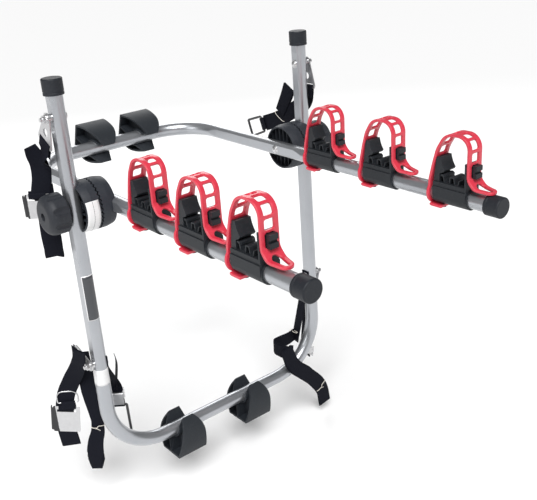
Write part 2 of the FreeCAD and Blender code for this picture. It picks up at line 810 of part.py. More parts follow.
def button_middle():
    """Place along the arm of the button that holds the strap's end under the cradle."""
    return cradle_car_end - 17.5


def strap_flap():
    """Free part of the strap, over the bicycle tube and down to its hook hole and finger tab."""
    points = strap_points()[3:]
    start = V(*points[0], 0) + (V(*points[1], 0) - V(*points[0], 0)).normalize() * 0.2
    points[0] = (start.x, start.y)
    radii = [60.0, 60.0, 30.0, 24.0, 60.0, 18.0, 18.0]
    pieces = path_pieces(points, radii)
    strip = ribbon(points, radii, rubber_thickness, rubber_width)
    body = placed(strip, (0, 0, 0), (0, 1, 0), (0, 0, 1))
    to_peg = distance_to(pieces, V(strap_front(), peg_middle_z, 0))
    holes = []
    for i in range(1, rung_count + 1):
        spot, slope = station(pieces, to_peg - (i + 0.1) * rung_pitch)
        holes.append(strap_hole(spot, slope, rung_hole_length, rung_hole_width))
    spot, slope = station(pieces, to_peg)
    holes.append(strap_hole(spot, slope, hook_hole_length, hook_hole_width))
    return body.cut(holes + tab_cuts())


def tab_cuts():
    """What to cut from the strap's end: its round tip's corners and the finger hole."""
    half = rubber_width / 2
    centre = V(0, tab_end + tab_end_radius, 0)
    wide = strap_front() - 12.0
    reach = V(half, wide, 0) - centre
    spread = math.acos(tab_end_radius / reach.Length)
    angle = math.atan2(reach.y, reach.x) - spread
    touch = V(math.cos(angle), math.sin(angle), 0) * tab_end_radius
    right = centre + touch
    left = V(-right.x, right.y, 0)
    tip = V(0, tab_end, 0)
    low = -half - 1.0
    outline = [
        Part.LineSegment(V(half, wide, 0), right).toShape(),
        Part.Arc(right, tip, left).toShape(),
        Part.LineSegment(left, V(-half, wide, 0)).toShape(),
        Part.LineSegment(V(-half, wide, 0), V(low, wide, 0)).toShape(),
        Part.LineSegment(V(low, wide, 0), V(low, tab_end - 1.0, 0)).toShape(),
        Part.LineSegment(V(low, tab_end - 1.0, 0), V(-low, tab_end - 1.0, 0)).toShape(),
        Part.LineSegment(V(-low, tab_end - 1.0, 0), V(-low, wide, 0)).toShape(),
        Part.LineSegment(V(-low, wide, 0), V(half, wide, 0)).toShape(),
    ]
    corners = Part.Face(Part.Wire(outline)).extrude(V(0, 0, floor_top + 2 * rubber_thickness))
    round_end = rod(finger_wide_radius, (0, finger_wide_y, 0), (0, finger_wide_y, cheek_top))
    point_end = rod(finger_point_radius, (0, finger_point_y, 0), (0, finger_point_y, cheek_top))
    low_left = V(-finger_wide_radius, finger_wide_y, 0)
    finger = Part.Face(Part.makePolygon([
        low_left, V(finger_wide_radius, finger_wide_y, 0), V(finger_point_radius, finger_point_y, 0),
        V(-finger_point_radius, finger_point_y, 0), low_left,
    ])).extrude(V(0, 0, cheek_top))
    return [corners, round_end, point_end, finger]


def make_cradles():
    """Three cradles with their rubber straps on each arm."""
    saddle = cradle_body()
    band = strap_band()
    flap = strap_flap()
    for name, side in SIDES.items():
        for number, middle in enumerate(cradle_y[name], start=1):
            label = name + "_" + str(number)
            spot = (side * arm_x, middle, 0)
            nodes["cradle_" + label] = placed(saddle, spot, (1, 0, 0), (0, 1, 0))
            nodes["strap_band_" + label] = placed(band, spot, (1, 0, 0), (0, 1, 0))
            nodes["strap_flap_" + label] = placed(flap, spot, (1, 0, 0), (0, 1, 0))


def pad_wall_shape(hand):
    """Outline of one of a pad's two walls along the bar: hand says at which end it is cut on the slant."""
    half = pad_length / 2 * hand
    base = pad_base_reach
    lip = -pad_lip_reach
    high = pad_tip_high * hand
    low = pad_tip_low * hand
    edges = [
        Part.LineSegment(V(-half, base, 0), V(half, base, 0)).toShape(),
        Part.LineSegment(V(half, base, 0), V(half, pad_shoulder, 0)).toShape(),
        Part.Arc(V(half, pad_shoulder, 0), V(half * 0.84, lip * 0.33, 0), V(high, lip, 0)).toShape(),
        Part.LineSegment(V(high, lip, 0), V(low, lip, 0)).toShape(),
        Part.LineSegment(V(low, lip, 0), V(-half, base, 0)).toShape(),
    ]
    return Part.Face(Part.Wire(edges))


def pad_section(inset):
    """Cross-section of a pad at the end of local -X, drawn inset from its outer surface."""
    x = -pad_length / 2
    base = pad_base_reach - inset
    lip = inset - pad_lip_reach
    wide = pad_base_half - inset
    bulge = pad_bulge_half - inset
    narrow = pad_lip_half - inset
    edges = [
        Part.LineSegment(V(x, base, -wide), V(x, base, wide)).toShape(),
        Part.Arc(V(x, base, wide), V(x, pad_bulge_reach, bulge), V(x, lip, narrow)).toShape(),
        Part.LineSegment(V(x, lip, narrow), V(x, lip, -narrow)).toShape(),
        Part.Arc(V(x, lip, -narrow), V(x, pad_bulge_reach, -bulge), V(x, base, -wide)).toShape(),
    ]
    return Part.Face(Part.Wire(edges))


def pad_mouth(margin):
    """Wedge through which the bar snaps into a pad, widening from the bar to the lips, grown by margin."""
    x = -pad_length / 2
    narrow = pad_lip_opening + margin
    wide = pad_lip_half - 2.0 + margin
    end = -pad_lip_reach - 1.0
    start = -tube_radius * 0.5
    half_outline = [(0, narrow), (start, narrow), (end, wide)]
    spots = [V(x, y, z) for y, z in half_outline]
    spots += [V(x, y, -z) for y, z in half_outline[::-1]]
    return Part.Face(Part.makePolygon(spots + spots[:1])).extrude(V(pad_length, 0, 0))


def pad_body(hand):
    """Clip-on pad: local X along the bar, local Y from the bar towards the pad's base, local Z across."""
    half = pad_length / 2
    reach = pad_bulge_half + 1.0
    front = pad_wall_shape(hand).extrude(V(0, 0, -reach))
    rear = pad_wall_shape(-hand).extrude(V(0, 0, reach))
    outer = pad_section(0).extrude(V(pad_length, 0, 0)).common(joined([front, rear]))
    sleeve = rod(tube_radius + pad_wall, (-half, 0, 0), (half, 0, 0))
    web = pad_web / 2
    webs = [box(-half, half, 0, pad_base_reach, -web, web)]
    for x in (-pad_web_x, pad_web_x):
        webs.append(box(x - web, x + web, -pad_lip_reach, pad_base_reach, -reach, reach))
    hollow = pad_section(pad_wall).extrude(V(pad_length, 0, 0))
    hollow = hollow.cut([sleeve, pad_mouth(pad_lip_plate)] + webs)
    bore = rod(tube_radius + pad_gap, (-half - 1.0, 0, 0), (half + 1.0, 0, 0))
    start = half - pad_flare_length
    wide = tube_radius + pad_flare
    flares = []
    for side in (-1, 1):
        root = V(side * start, 0, 0)
        flares.append(Part.makeCone(tube_radius, wide, pad_flare_length, root, V(side, 0, 0)))
    return outer.cut([hollow, bore, pad_mouth(0)] + flares)


def make_pads():
    """Two pads on the lower bar, based downwards, and two of the other hand on the rear bar."""
    low_pad = pad_body(1)
    high_pad = pad_body(-1)
    tilt = math.radians(upper_pad_tilt)
    for name in SIDES:
        lower = (lower_pad_x[name], 0, lower_bar_z)
        nodes["lower_pad_" + name] = placed(low_pad, lower, (1, 0, 0), (0, 0, -1))
        upper = (upper_pad_x[name], rear_bar_y, 0)
        base_way = (0, math.cos(tilt), math.sin(tilt))
        nodes["upper_pad_" + name] = placed(high_pad, upper, (1, 0, 0), base_way)


def slot_spot(side, label):
    """Middle of the free edge of an anchor plate, in the middle of its thickness."""
    height = anchor_z[label.split("_")[0]]
    up = V(*plate_axes(label)[1])
    return V(side * (plate_near() + plate_thickness / 2), 0, height) - up * plate_drop


def slot_loop(side, label, tail):
    """Webbing turned through an anchor plate's slot, both its layers running on past the plate."""
    away = plate_thickness / 2 + web_gap + web_thickness / 2
    top = slot_bar + slot_height / 2
    points = [
        (0.3, -tail), (0.3, -7.0), (-away, -2.0), (-away, top), (away, top), (away, -tail),
    ]
    strip = ribbon(points, [1.8, 1.8, 2.2, 2.2], web_thickness, web_width)
    return placed(strip, tuple(slot_spot(side, label)), (side, 0, 0), plate_axes(label)[1])


def web_face_x():
    """Distance from the middle plane to the middle of the webbing's outer layer on a plate."""
    return plate_near() + plate_thickness + web_gap + web_thickness / 2


def flat_web(origin, across, points, radii, width, layers):
    """Webbing that hangs in an upright plane: its points are distances along across and heights."""
    strip = ribbon(points, radii, width, layers * web_thickness)
    return placed(strip, origin, across, (0, 0, 1))


def ring_hook(wire, top, foot, height):
    """Closed ring of coated wire, the middle of its upper bar at local 0, 0 and its foot below."""
    radius = wire * ring_bend
    points = [
        (0, 0), (top / 2, 0), (foot / 2, -height), (-foot / 2, -height), (-top / 2, 0), (0, 0),
    ]
    return bent_rod(points, [radius] * 4, wire)


def bar_loop(wire, width, centre):
    """Webbing once round a ring's bar, which lies along local X at local Y centre."""
    inner = wire + web_gap
    start = (-width / 2, centre, 0)
    return hollow_rod(inner + web_thickness, inner, start, (width / 2, centre, 0))


def slotted_hook(width, height, slot):
    """Flat hook plate in local XY with a webbing slot and, at its left, a lip turned back along -Z."""
    half = width / 2
    plate = box(-half, half, -height, 0, 0, hook_thickness)
    upright = [e for e in plate.Edges if abs(e.tangentAt(e.FirstParameter).z) > 0.9]
    plate = plate.makeFillet(3.0, upright)
    slot_low = -hook_slot_top - slot_height
    opening = box(-slot / 2, slot / 2, slot_low, -hook_slot_top, 0, hook_thickness)
    middle = hook_thickness / 2
    lip = [(-half + 4.0, middle), (-half - hook_lip, middle), (-half - hook_lip, middle - 2 * hook_lip)]
    strip = ribbon(lip, [hook_lip - 1.0], hook_thickness, height - 8.0)
    strip = placed(strip, (0, -height / 2, 0), (1, 0, 0), (0, 0, 1))
    return joined([plate.cut(opening), strip])


def hook_loop(width):
    """Webbing once round the upper bar of a slotted hook plate."""
    half = width / 2
    low = -hook_slot_top
    wall = web_gap + web_thickness
    outer = box(-half, half, low - wall, wall, -wall, hook_thickness + wall)
    return outer.cut(box(-half, half, low - web_gap, web_gap, -web_gap, hook_thickness + web_gap))


def facing(origin, along, height, forward):
    """Point of the plane that looks back to the left: along it from its origin, and in front of it."""
    front = V(*web_right).cross(Z_AXIS)
    spot = V(origin[0], origin[1], height) + V(*web_right) * along + front * forward
    return tuple(spot)


def turned_axes(lean):
    """Directions across and up in the plane that looks back to the left, top leaning right by lean."""
    angle = math.radians(lean)
    across = V(*web_right)
    return (
        tuple(across * math.cos(angle) - Z_AXIS * math.sin(angle)),
        tuple(across * math.sin(angle) + Z_AXIS * math.cos(angle)),
    )


def make_upper_left_webbing():
    """Strap that hangs past the left knob on its car side, with a slotted hook plate on it."""
    label = "upper_left"
    side = SIDES["left"]
    slot = slot_spot(side, label)
    x = side * web_face_x()
    hang = upper_left_hang
    layers = 2
    turn = [(slot.y + 2.0, slot.z - 2.0), upper_left_turn]
    axes = turned_axes(0)
    face = layers * web_thickness / 2
    spot = facing(hang, *upper_left_hook, face + web_gap)
    nodes["webbing_upper_left"] = joined([
        slot_loop(side, label, 16.0),
        flat_web((x, 0, 0), (0, 1, 0), turn, [], web_width, 1),
        flat_web((*hang, 0), web_right, upper_left_long, [60.0, 60.0], web_width, layers),
        flat_web((*hang, 0), web_right, upper_left_short, [30.0], web_width, layers),
        placed(hook_loop(web_width - 4.0), spot, *axes),
    ])
    hook = slotted_hook(upper_left_hook_size, upper_left_hook_size, web_width + 3.0)
    nodes["hook_upper_left"] = placed(hook, spot, *axes)


def make_lower_left_webbing():
    """Two folded straps behind the left post's foot, the outer one with a slotted hook plate and ring."""
    label = "lower_left"
    side = SIDES["left"]
    hang = lower_left_hang
    layers = 3
    axes = turned_axes(lower_left_hook_lean)
    face = layers * web_thickness / 2
    spot = facing(hang, *lower_left_hook, face + web_gap)
    wire = lower_left_ring_wire
    half = web_width / 2 + 4.0
    drop = lower_left_ring_drop
    ring_spot = facing(hang, *lower_left_ring, face + wire + web_gap)
    points = [(0, 0), (half, 0), (half, -drop), (-half, -drop), (-half, 0), (0, 0)]
    ring = bent_rod(points, [14.0, 4.0, 4.0, 14.0], wire)
    nodes["webbing_lower_left"] = joined([
        slot_loop(side, label, 14.0),
        flat_web((*hang, 0), web_right, lower_left_outer, [90.0, 90.0, 90.0], web_width, layers),
        flat_web((*hang, 0), web_right, lower_left_inner, [90.0, 90.0, 60.0], web_width - 4.0, layers),
        placed(hook_loop(web_width - 4.0), spot, *axes),
        placed(bar_loop(wire, 30.0, -drop), ring_spot, *turned_axes(0)),
    ])
    hook = slotted_hook(lower_left_hook_width, lower_left_hook_height, web_width + 3.0)
    hook = placed(hook, spot, *axes)
    nodes["hook_lower_left"] = Part.makeCompound([hook, placed(ring, ring_spot, *turned_axes(0))])


def make_upper_right_webbing():
    """Strap beside the right post that turns to the car above the knob and ends in a folded loop."""
    label = "upper_right"
    side = SIDES["right"]
    plane = (side * (web_face_x() + web_gap), 0, 0)
    end = V(0, *upper_right_run[-1])
    way = (end - V(0, *upper_right_run[-2])).normalize()
    wire = ring_wire
    spot = V(*plane) + end + way * (wire + web_gap + web_thickness / 2)
    axes = (tuple(way.cross(X_AXIS) * -1), tuple(way * -1))
    nodes["webbing_upper_right"] = joined([
        slot_loop(side, label, 24.0),
        flat_web(plane, (0, 1, 0), upper_right_run, [30.0, 40.0, 90.0], web_width, 1),
        flat_web(plane, (0, 1, 0), upper_right_fold, [], web_width, 4),
        placed(bar_loop(wire, 30.0, 0), tuple(spot), *axes),
    ])
    nodes["hook_upper_right"] = placed(ring_hook(wire, 38.0, 42.0, 54.0), tuple(spot), *axes)


def make_lower_right_webbing():
    """Strap beside the right post down to its cam buckle."""
    label = "lower_right"
    side = SIDES["right"]
    slot = slot_spot(side, label)
    lean = math.radians(lower_right_lean)
    up = (0, -math.sin(lean), math.cos(lean))
    plane = (side * web_face_x(), 0, 0)
    top = (slot.y, slot.z - 4.0)
    foot = (top[0] - up[1] * lower_right_length, top[1] - up[2] * lower_right_length)
    nodes["webbing_lower_right"] = joined([
        slot_loop(side, label, 26.0),
        flat_web(plane, (0, 1, 0), [top, foot], [], web_width, 1),
    ])
    seat = (plane[0], foot[0] + up[1] * lower_right_buckle, foot[1] + up[2] * lower_right_buckle)
    frame, cam = cam_buckle(web_width)
    nodes["buckle_lower_right"] = placed(frame, seat, (side, 0, 0), up)
    nodes["cam_lower_right"] = placed(cam, seat, (side, 0, 0), up)


def cam_buckle(width):
    """Steel frame with its pin, and the sprung cam lever, on webbing whose middle is local X 0."""
    cheek = width / 2 + 1.2
    behind = -web_thickness / 2 - web_gap
    pin_x = web_thickness / 2 + cam_gap + cam_radius
    back = box(behind - buckle_plate, behind, -13.0, 13.0, -cheek - buckle_plate, cheek + buckle_plate)
    sides = []
    for low in (-cheek - buckle_plate, cheek):
        sides.append(box(behind - buckle_plate, pin_x + 4.0, -9.0, 9.0, low, low + buckle_plate))
    pin = rod(cam_pin_radius, (pin_x, 0, -cheek - 2.6), (pin_x, 0, cheek + 2.6))
    frame = joined([back] + sides + [pin])
    half = cheek - 0.4
    roller = rod(cam_radius, (pin_x, 0, -half), (pin_x, 0, half))
    tongue = box(pin_x + cam_radius - 2.0, pin_x + cam_radius, -cam_tongue, 0, -half, half)
    bore = rod(cam_pin_radius + running_gap, (pin_x, 0, -half), (pin_x, 0, half))
    return frame, joined([roller, tongue]).cut(bore)


def side_start(side, inward):
    """Flat end of a side strap under the bolt head, on the inner flat of a post."""
    height = anchor_z["lower"]
    x = side * (post_x - flat_half - web_thickness / 2)
    half = side_web_width / 2
    pad = box(x - web_thickness / 2, x + web_thickness / 2, -half, half, height - 16.0, height + 13.0)
    hole = rod(anchor_radius + web_gap, (x - 5.0, 0, height), (x + 5.0, 0, height))
    return pad.cut(hole), V(x - side * inward, 0, height - 13.0)


def twisted_web(start, start_across, end, end_across, width):
    """One layer of webbing between two points, its width turned from one direction to another."""
    way = (end - start).normalize()
    ends = []
    for spot, across in ((start, start_across), (end, end_across)):
        side = (across - way * across.dot(way)).normalize() * (width / 2)
        deep = way.cross(side).normalize() * (web_thickness / 2)
        corners = [spot - side - deep, spot + side - deep, spot + side + deep, spot - side + deep]
        ends.append(Part.makePolygon(corners + corners[:1]))
    return Part.makeLoft(ends, True, True)


def make_side_left_webbing():
    """Narrow strap from the left lower bolt, behind the post, with its buckle and coated ring."""
    side = SIDES["left"]
    pad, top = side_start(side, 1.8)
    seat = V(*side_left_seat)
    across = V(*web_right)
    wire = ring_wire
    loop_top = side_left_ring_drop - wire - web_gap - web_thickness / 2
    foot = [(0, seat.z + 3.0), (0, seat.z - loop_top)]
    plane = (seat.x, seat.y, 0)
    ring_spot = (seat.x, seat.y, seat.z - side_left_ring_drop)
    axes = turned_axes(0)
    nodes["webbing_side_left"] = joined([
        pad,
        twisted_web(top, V(0, 1, 0), seat, across * -1, side_web_width),
        flat_web(plane, web_right, foot, [], side_web_width, 1),
        flat_web(plane, web_right, side_left_tail, [60.0], 5.0, 4),
        placed(bar_loop(wire, side_web_width, 0), ring_spot, *axes),
    ])
    frame, cam = cam_buckle(side_web_width)
    front = across.cross(Z_AXIS)
    spot = (seat.x, seat.y, seat.z - 16.0)
    nodes["buckle_side_left"] = placed(frame, spot, tuple(front), (0, 0, 1))
    nodes["cam_side_left"] = placed(cam, spot, tuple(front), (0, 0, 1))
    ring = ring_hook(wire, side_web_width + 8.0, 36.0, 78.0)
    nodes["hook_side_left"] = placed(ring, ring_spot, *axes)


def make_side_right_webbing():
    """Narrow strap from the right lower bolt, folded behind the bar, round it and down in front."""
    side = SIDES["right"]
    pad, top = side_start(side, 0.4)
    fold = ribbon(side_right_wrap, [20.0, 14.0, 14.0], 3 * web_thickness, side_web_width + 8.0)
    fold.translate(V(0, 0, side_right_wrap_z))
    plane = (0, side_right_front_y, 0)
    nodes["webbing_side_right"] = joined([
        pad,
        twisted_web(top, V(0, 1, 0), V(*side_right_foot), V(0, 1, 0), side_web_width),
        fold,
        flat_web(plane, (1, 0, 0), side_right_front, [60.0, 60.0, 50.0], web_width, 4),
    ])


def main():
    make_frames()
    make_caps()
    make_hubs()
    make_pivots()
    make_anchors()
    make_cradles()
    make_pads()
    make_upper_left_webbing()
    make_lower_left_webbing()
    make_upper_right_webbing()
    make_lower_right_webbing()
    make_side_left_webbing()
    make_side_right_webbing()
    os.makedirs("parts", exist_ok=True)
    for name, shape in nodes.items():
        if not shape.isValid():
            print("not valid:", name)
        shape.exportStep("parts/" + name + ".step")
    print(len(nodes), "nodes")


main()
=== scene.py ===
import math

import bmesh
import bpy
import numpy as np
from mathutils import Matrix, Vector


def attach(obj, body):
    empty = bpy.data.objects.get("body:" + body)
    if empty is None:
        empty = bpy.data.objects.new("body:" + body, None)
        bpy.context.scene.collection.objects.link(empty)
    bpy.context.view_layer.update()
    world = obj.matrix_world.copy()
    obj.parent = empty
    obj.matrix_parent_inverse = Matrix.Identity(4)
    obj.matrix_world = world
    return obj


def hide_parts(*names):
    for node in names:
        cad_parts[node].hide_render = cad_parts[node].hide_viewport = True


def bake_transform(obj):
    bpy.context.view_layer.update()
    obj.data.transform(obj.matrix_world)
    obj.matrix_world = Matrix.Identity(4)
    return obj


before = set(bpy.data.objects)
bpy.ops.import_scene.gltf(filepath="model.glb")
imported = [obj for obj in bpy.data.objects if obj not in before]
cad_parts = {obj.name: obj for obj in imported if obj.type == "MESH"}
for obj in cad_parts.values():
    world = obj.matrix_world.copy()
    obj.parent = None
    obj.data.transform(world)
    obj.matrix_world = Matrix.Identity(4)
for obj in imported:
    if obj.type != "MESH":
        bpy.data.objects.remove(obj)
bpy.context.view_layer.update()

# Lengths in this file are millimetres in the part's own frame and are turned to metres
# where a mesh is made. +Y points to the car, the arms point along -Y.
MM = 0.001
X = np.array([1.0, 0.0, 0.0])
Y = np.array([0.0, 1.0, 0.0])
Z = np.array([0.0, 0.0, 1.0])

TUBE_RADIUS = 15.9
POST_X = 295.0
POST_HALF_FLAT = 13.0
ARM_X = 223.0
CRADLE_Y = {"left": (-158.0, -315.0, -461.0), "right": (-144.0, -311.0, -490.0)}
SIDES = {"left": -1, "right": 1}

# Direction along the face of the straps on the left, and out of that face
FACE_RIGHT = np.array([0.79, -0.61, 0.0]) / math.hypot(0.79, 0.61)
FACE_FRONT = np.cross(FACE_RIGHT, Z)

# Plan places of the upright lines that the left straps hang on
UPPER_LEFT_PLAN = (-335.0, 68.0)
LOWER_LEFT_PLAN = (-330.0, 78.0)

# Where the middles of the two hook plates lie along the face, from those lines
UPPER_HOOK_ALONG = 2.0
LOWER_HOOK_ALONG = -21.0


# Shader maths

class Value:
    """A socket's number, colour or vector; arithmetic on a number adds Math nodes."""

    def __init__(self, tree, socket):
        self.tree = tree
        self.socket = socket

    def math(self, operation, *numbers):
        node = self.tree.nodes.new("ShaderNodeMath")
        node.operation = operation
        for slot, number in zip(node.inputs, numbers):
            if isinstance(number, Value):
                self.tree.links.new(number.socket, slot)
            else:
                slot.default_value = number
        return Value(self.tree, node.outputs[0])

    def __add__(self, other):
        return self.math("ADD", self, other)

    __radd__ = __add__

    def __sub__(self, other):
        return self.math("SUBTRACT", self, other)

    def __rsub__(self, other):
        return self.math("SUBTRACT", other, self)

    def __mul__(self, other):
        return self.math("MULTIPLY", self, other)

    __rmul__ = __mul__

    def __abs__(self):
        return self.math("ABSOLUTE", self)

    def __gt__(self, other):
        return self.math("GREATER_THAN", self, other)

    def __lt__(self, other):
        return self.math("LESS_THAN", self, other)

    def sine(self):
        return self.math("SINE", self)

    def most(self, other):
        return self.math("MAXIMUM", self, other)

    def least(self, other):
        return self.math("MINIMUM", self, other)

    def between(self, low, high):
        """0 below low, 1 above high and a straight ramp between them."""
        return ((self - low) * (1.0 / (high - low))).most(0.0).least(1.0)


class Finish:
    """A material and its shader, with one method that adds any other node."""

    def __init__(self, name, **shader):
        self.material = bpy.data.materials.new(name)
        self.material.use_nodes = True
        self.tree = self.material.node_tree
        self.shader = self.tree.nodes["Principled BSDF"]
        for key, value in shader.items():
            self.feed(key.replace("_", " ").title().replace("Ior", "IOR"), value)

    def feed(self, name, value):
        slot = self.shader.inputs[name]
        if isinstance(value, Value):
            self.tree.links.new(value.socket, slot)
        elif isinstance(value, tuple):
            slot.default_value = (*value, 1.0)
        else:
            slot.default_value = value

    def node(self, kind, settings=None, sockets=None, out=0):
        made = self.tree.nodes.new(kind)
        for key, value in (settings or {}).items():
            setattr(made, key, value)
        for key, value in (sockets or {}).items():
            slot = made.inputs[key]
            if isinstance(value, Value):
                self.tree.links.new(value.socket, slot)
            elif isinstance(value, tuple) and len(value) == 3 and slot.type == "RGBA":
                slot.default_value = (*value, 1.0)
            else:
                slot.default_value = value
        return Value(self.tree, made.outputs[out])

    def place(self):
        return self.node("ShaderNodeTexCoord", out=3)

    def parts(self, vector):
        split = self.tree.nodes.new("ShaderNodeSeparateXYZ")
        self.tree.links.new(vector.socket, split.inputs[0])
        return [Value(self.tree, s) for s in split.outputs]

    def stretched(self, vector, scale):
        return self.node("ShaderNodeVectorMath", {"operation": "MULTIPLY"}, {0: vector, 1: scale})

    def noise(self, vector, scale, detail=2.0):
        sockets = {"Vector": vector, "Scale": scale, "Detail": detail, "Roughness": 0.5}
        return self.node("ShaderNodeTexNoise", {}, sockets)

    def blend(self, amount, first, second):
        return self.node("ShaderNodeMix", {"data_type": "RGBA"}, {0: amount, 6: first, 7: second}, out=2)

    def bump(self, height, distance, strength):
        sockets = {"Height": height, "Distance": distance, "Strength": strength}
        self.feed("Normal", self.node("ShaderNodeBump", {}, sockets))


def silver_paint():
    """Silver lacquer: fine orange peel, faint clouding and small rubbed patches."""
    f = Finish("silver paint", metallic=0.85, coat_roughness=0.25)
    p = f.place()
    cloud = f.noise(p, 14.0, 3.0)
    peel = f.noise(p, 1100.0, 1.0)
    flake = f.noise(p, 5200.0, 0.0)
    rub = f.noise(f.stretched(p, (160.0, 24.0, 24.0)), 1.0, 4.0).between(0.60, 0.72)
    dark, light = (0.360, 0.375, 0.400), (0.500, 0.515, 0.540)
    f.feed("Base Color", f.blend(cloud * 0.7 + flake * 0.25, dark, light))
    f.feed("Roughness", cloud * 0.10 + rub * 0.10 + 0.24)
    f.feed("Coat Weight", 0.35 - rub * 0.15)
    f.bump(peel * 0.7 + flake * 0.3, 0.00005, 0.6)
    return f.material


def moulded(name, dark, light, roughness, grain, depth):
    """Moulded plastic: fine grain, slow flow clouding and a little dust."""
    f = Finish(name, specular_ior_level=0.3)
    p = f.place()
    cloud = f.noise(p, 22.0, 3.0)
    fine = f.noise(p, grain, 2.0)
    dust = f.noise(p, 260.0, 4.0).between(0.50, 0.80) * 0.25
    body = f.blend(cloud, dark, light)
    f.feed("Base Color", f.blend(dust, body, tuple(c + 0.03 for c in light)))
    f.feed("Roughness", fine * 0.12 + cloud * 0.08 + dust * 0.15 + roughness)
    f.bump(fine, depth, 0.55)
    return f.material


def red_rubber():
    """Smooth coral-red rubber with faint mottling, a waxy bloom and shallow mould marks."""
    f = Finish("red rubber", coat_weight=0.35, coat_roughness=0.38)
    p = f.place()
    mottle = f.noise(p, 60.0, 4.0)
    bloom = f.noise(p, 420.0, 3.0).between(0.48, 0.75)
    dark, light = (0.600, 0.018, 0.045), (0.720, 0.060, 0.095)
    f.feed("Base Color", f.blend(mottle * 0.6 + bloom * 0.35, dark, light))
    f.feed("Roughness", mottle * 0.12 + bloom * 0.12 + 0.30)
    f.bump(f.noise(p, 900.0, 2.0) * 0.5 + mottle * 0.5, 0.00008, 0.5)
    return f.material


def webbing(name, dark, light):
    """Woven webbing on the strap's own map, in metres. Ribs run along it as |sin| of the place across, and
    a thread is a sine of the place along, set over by half a turn on every second rib."""
    f = Finish(name, specular_ior_level=0.12)
    map_u, map_v, _ = f.parts(f.node("ShaderNodeUVMap"))
    rib_pitch, thread_pitch = 0.0021, 0.0026
    rib = abs((map_u * (math.pi / rib_pitch)).sine())
    swap = ((map_u * (math.pi / (2 * rib_pitch))).sine() > 0.0) * math.pi
    thread = (map_v * (2 * math.pi / thread_pitch) + swap).sine() * 0.5 + 0.5
    height = rib * (thread * 0.6 + 0.4)
    fuzz = f.noise(f.place(), 1600.0, 2.0)
    f.feed("Base Color", f.blend(height * 0.7 + fuzz * 0.3, dark, light))
    f.feed("Roughness", 0.92 - height * 0.25)
    f.bump(height * 0.85 + fuzz * 0.15, 0.00028, 0.9)
    return f.material


def plated_steel(name, colour, roughness, coated=None):
    """Plated steel with fine rolling lines. Where coated is given, what lies before that place along the
    straps' face, in metres, is dipped in black."""
    f = Finish(name)
    p = f.place()
    lines = f.noise(f.stretched(p, (2600.0, 60.0, 60.0)), 1.0, 3.0)
    spots = f.noise(p, 120.0, 4.0)
    base = f.blend(spots, tuple(c * 0.82 for c in colour), colour)
    rough = lines * 0.14 + spots * 0.10 + roughness
    if coated is None:
        f.feed("Base Color", base)
        f.feed("Roughness", rough)
        f.feed("Metallic", 1.0)
    else:
        sockets = {0: p, 1: tuple(FACE_RIGHT)}
        along = f.node("ShaderNodeVectorMath", {"operation": "DOT_PRODUCT"}, sockets, out=1)
        dip = (along + (spots - 0.5) * 0.002) < coated
        f.feed("Base Color", f.blend(dip, base, (0.018, 0.018, 0.020)))
        f.feed("Roughness", dip * 0.18 + rough)
        f.feed("Metallic", 1.0 - dip)
    f.bump(lines * 0.5 + spots * 0.5, 0.00006, 0.6)
    return f.material


def dipped_wire():
    """Black vinyl dip on wire: glossy, slightly uneven."""
    f = Finish("black dip", coat_roughness=0.2)
    p = f.place()
    wave = f.noise(p, 160.0, 3.0)
    f.feed("Base Color", f.blend(wave, (0.014, 0.014, 0.016), (0.030, 0.030, 0.034)))
    f.feed("Roughness", wave * 0.2 + 0.22)
    f.feed("Coat Weight", 0.3)
    f.bump(wave, 0.0004, 0.5)
    return f.material


def film(name, body, border, edge_u, edge_v):
    """Glossy label film on its own 0 to 1 map, with a border of another colour."""
    f = Finish(name, coat_roughness=0.1, coat_weight=0.4)
    u, v, _ = f.parts(f.node("ShaderNodeUVMap"))
    rim = (abs(u - 0.5) > 0.5 - edge_u).most(abs(v - 0.5) > 0.5 - edge_v)
    scuff = f.noise(f.place(), 300.0, 4.0)
    f.feed("Base Color", f.blend(rim, f.blend(scuff, tuple(c * 0.85 for c in body), body), border))
    f.feed("Roughness", scuff * 0.15 + 0.30)
    f.bump(f.noise(f.place(), 90.0, 2.0), 0.00015, 0.4)
    return f.material


def tie_wire():
    """Cream paper-coated tie wire with faint creases."""
    f = Finish("tie wire")
    p = f.place()
    crease = f.noise(p, 1800.0, 3.0)
    f.feed("Base Color", f.blend(crease, (0.62, 0.58, 0.50), (0.86, 0.83, 0.76)))
    f.feed("Roughness", crease * 0.2 + 0.5)
    f.bump(crease, 0.0001, 0.6)
    return f.material


# Shapes

def finished(name, mesh, material, body):
    """Object in the scene at the origin, with its material and the body it moves with."""
    thing = bpy.data.objects.new(name, mesh)
    bpy.context.scene.collection.objects.link(thing)
    thing.data.materials.append(material)
    if body is not None:
        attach(thing, body)
    return thing


def mesh_from(name, points, faces, uv=None):
    """Smooth-shaded mesh from points in millimetres and faces; uv has one pair for each point."""
    mesh = bpy.data.meshes.new(name)
    mesh.from_pydata((np.asarray(points) * MM).tolist(), [], [tuple(int(i) for i in f) for f in faces])
    mesh.polygons.foreach_set("use_smooth", [True] * len(mesh.polygons))
    if uv is not None:
        corners = np.empty(len(mesh.loops), dtype=np.int32)
        mesh.loops.foreach_get("vertex_index", corners)
        layer = mesh.uv_layers.new(name="map")
        layer.data.foreach_set("uv", np.asarray(uv, dtype=np.float32)[corners].ravel())
    mesh.update()
    return mesh


def grid_faces(rows, columns, wrap=False):
    """Quads of a grid whose points run row by row; wrap joins the last column to the first."""
    across = np.arange(columns if wrap else columns - 1)
    i, j = np.meshgrid(np.arange(rows - 1), across, indexing="ij")
    k = (j + 1) % columns
    here, next_row = i * columns, (i + 1) * columns
    return np.stack([here + j, here + k, next_row + k, next_row + j], axis=-1).reshape(-1, 4)


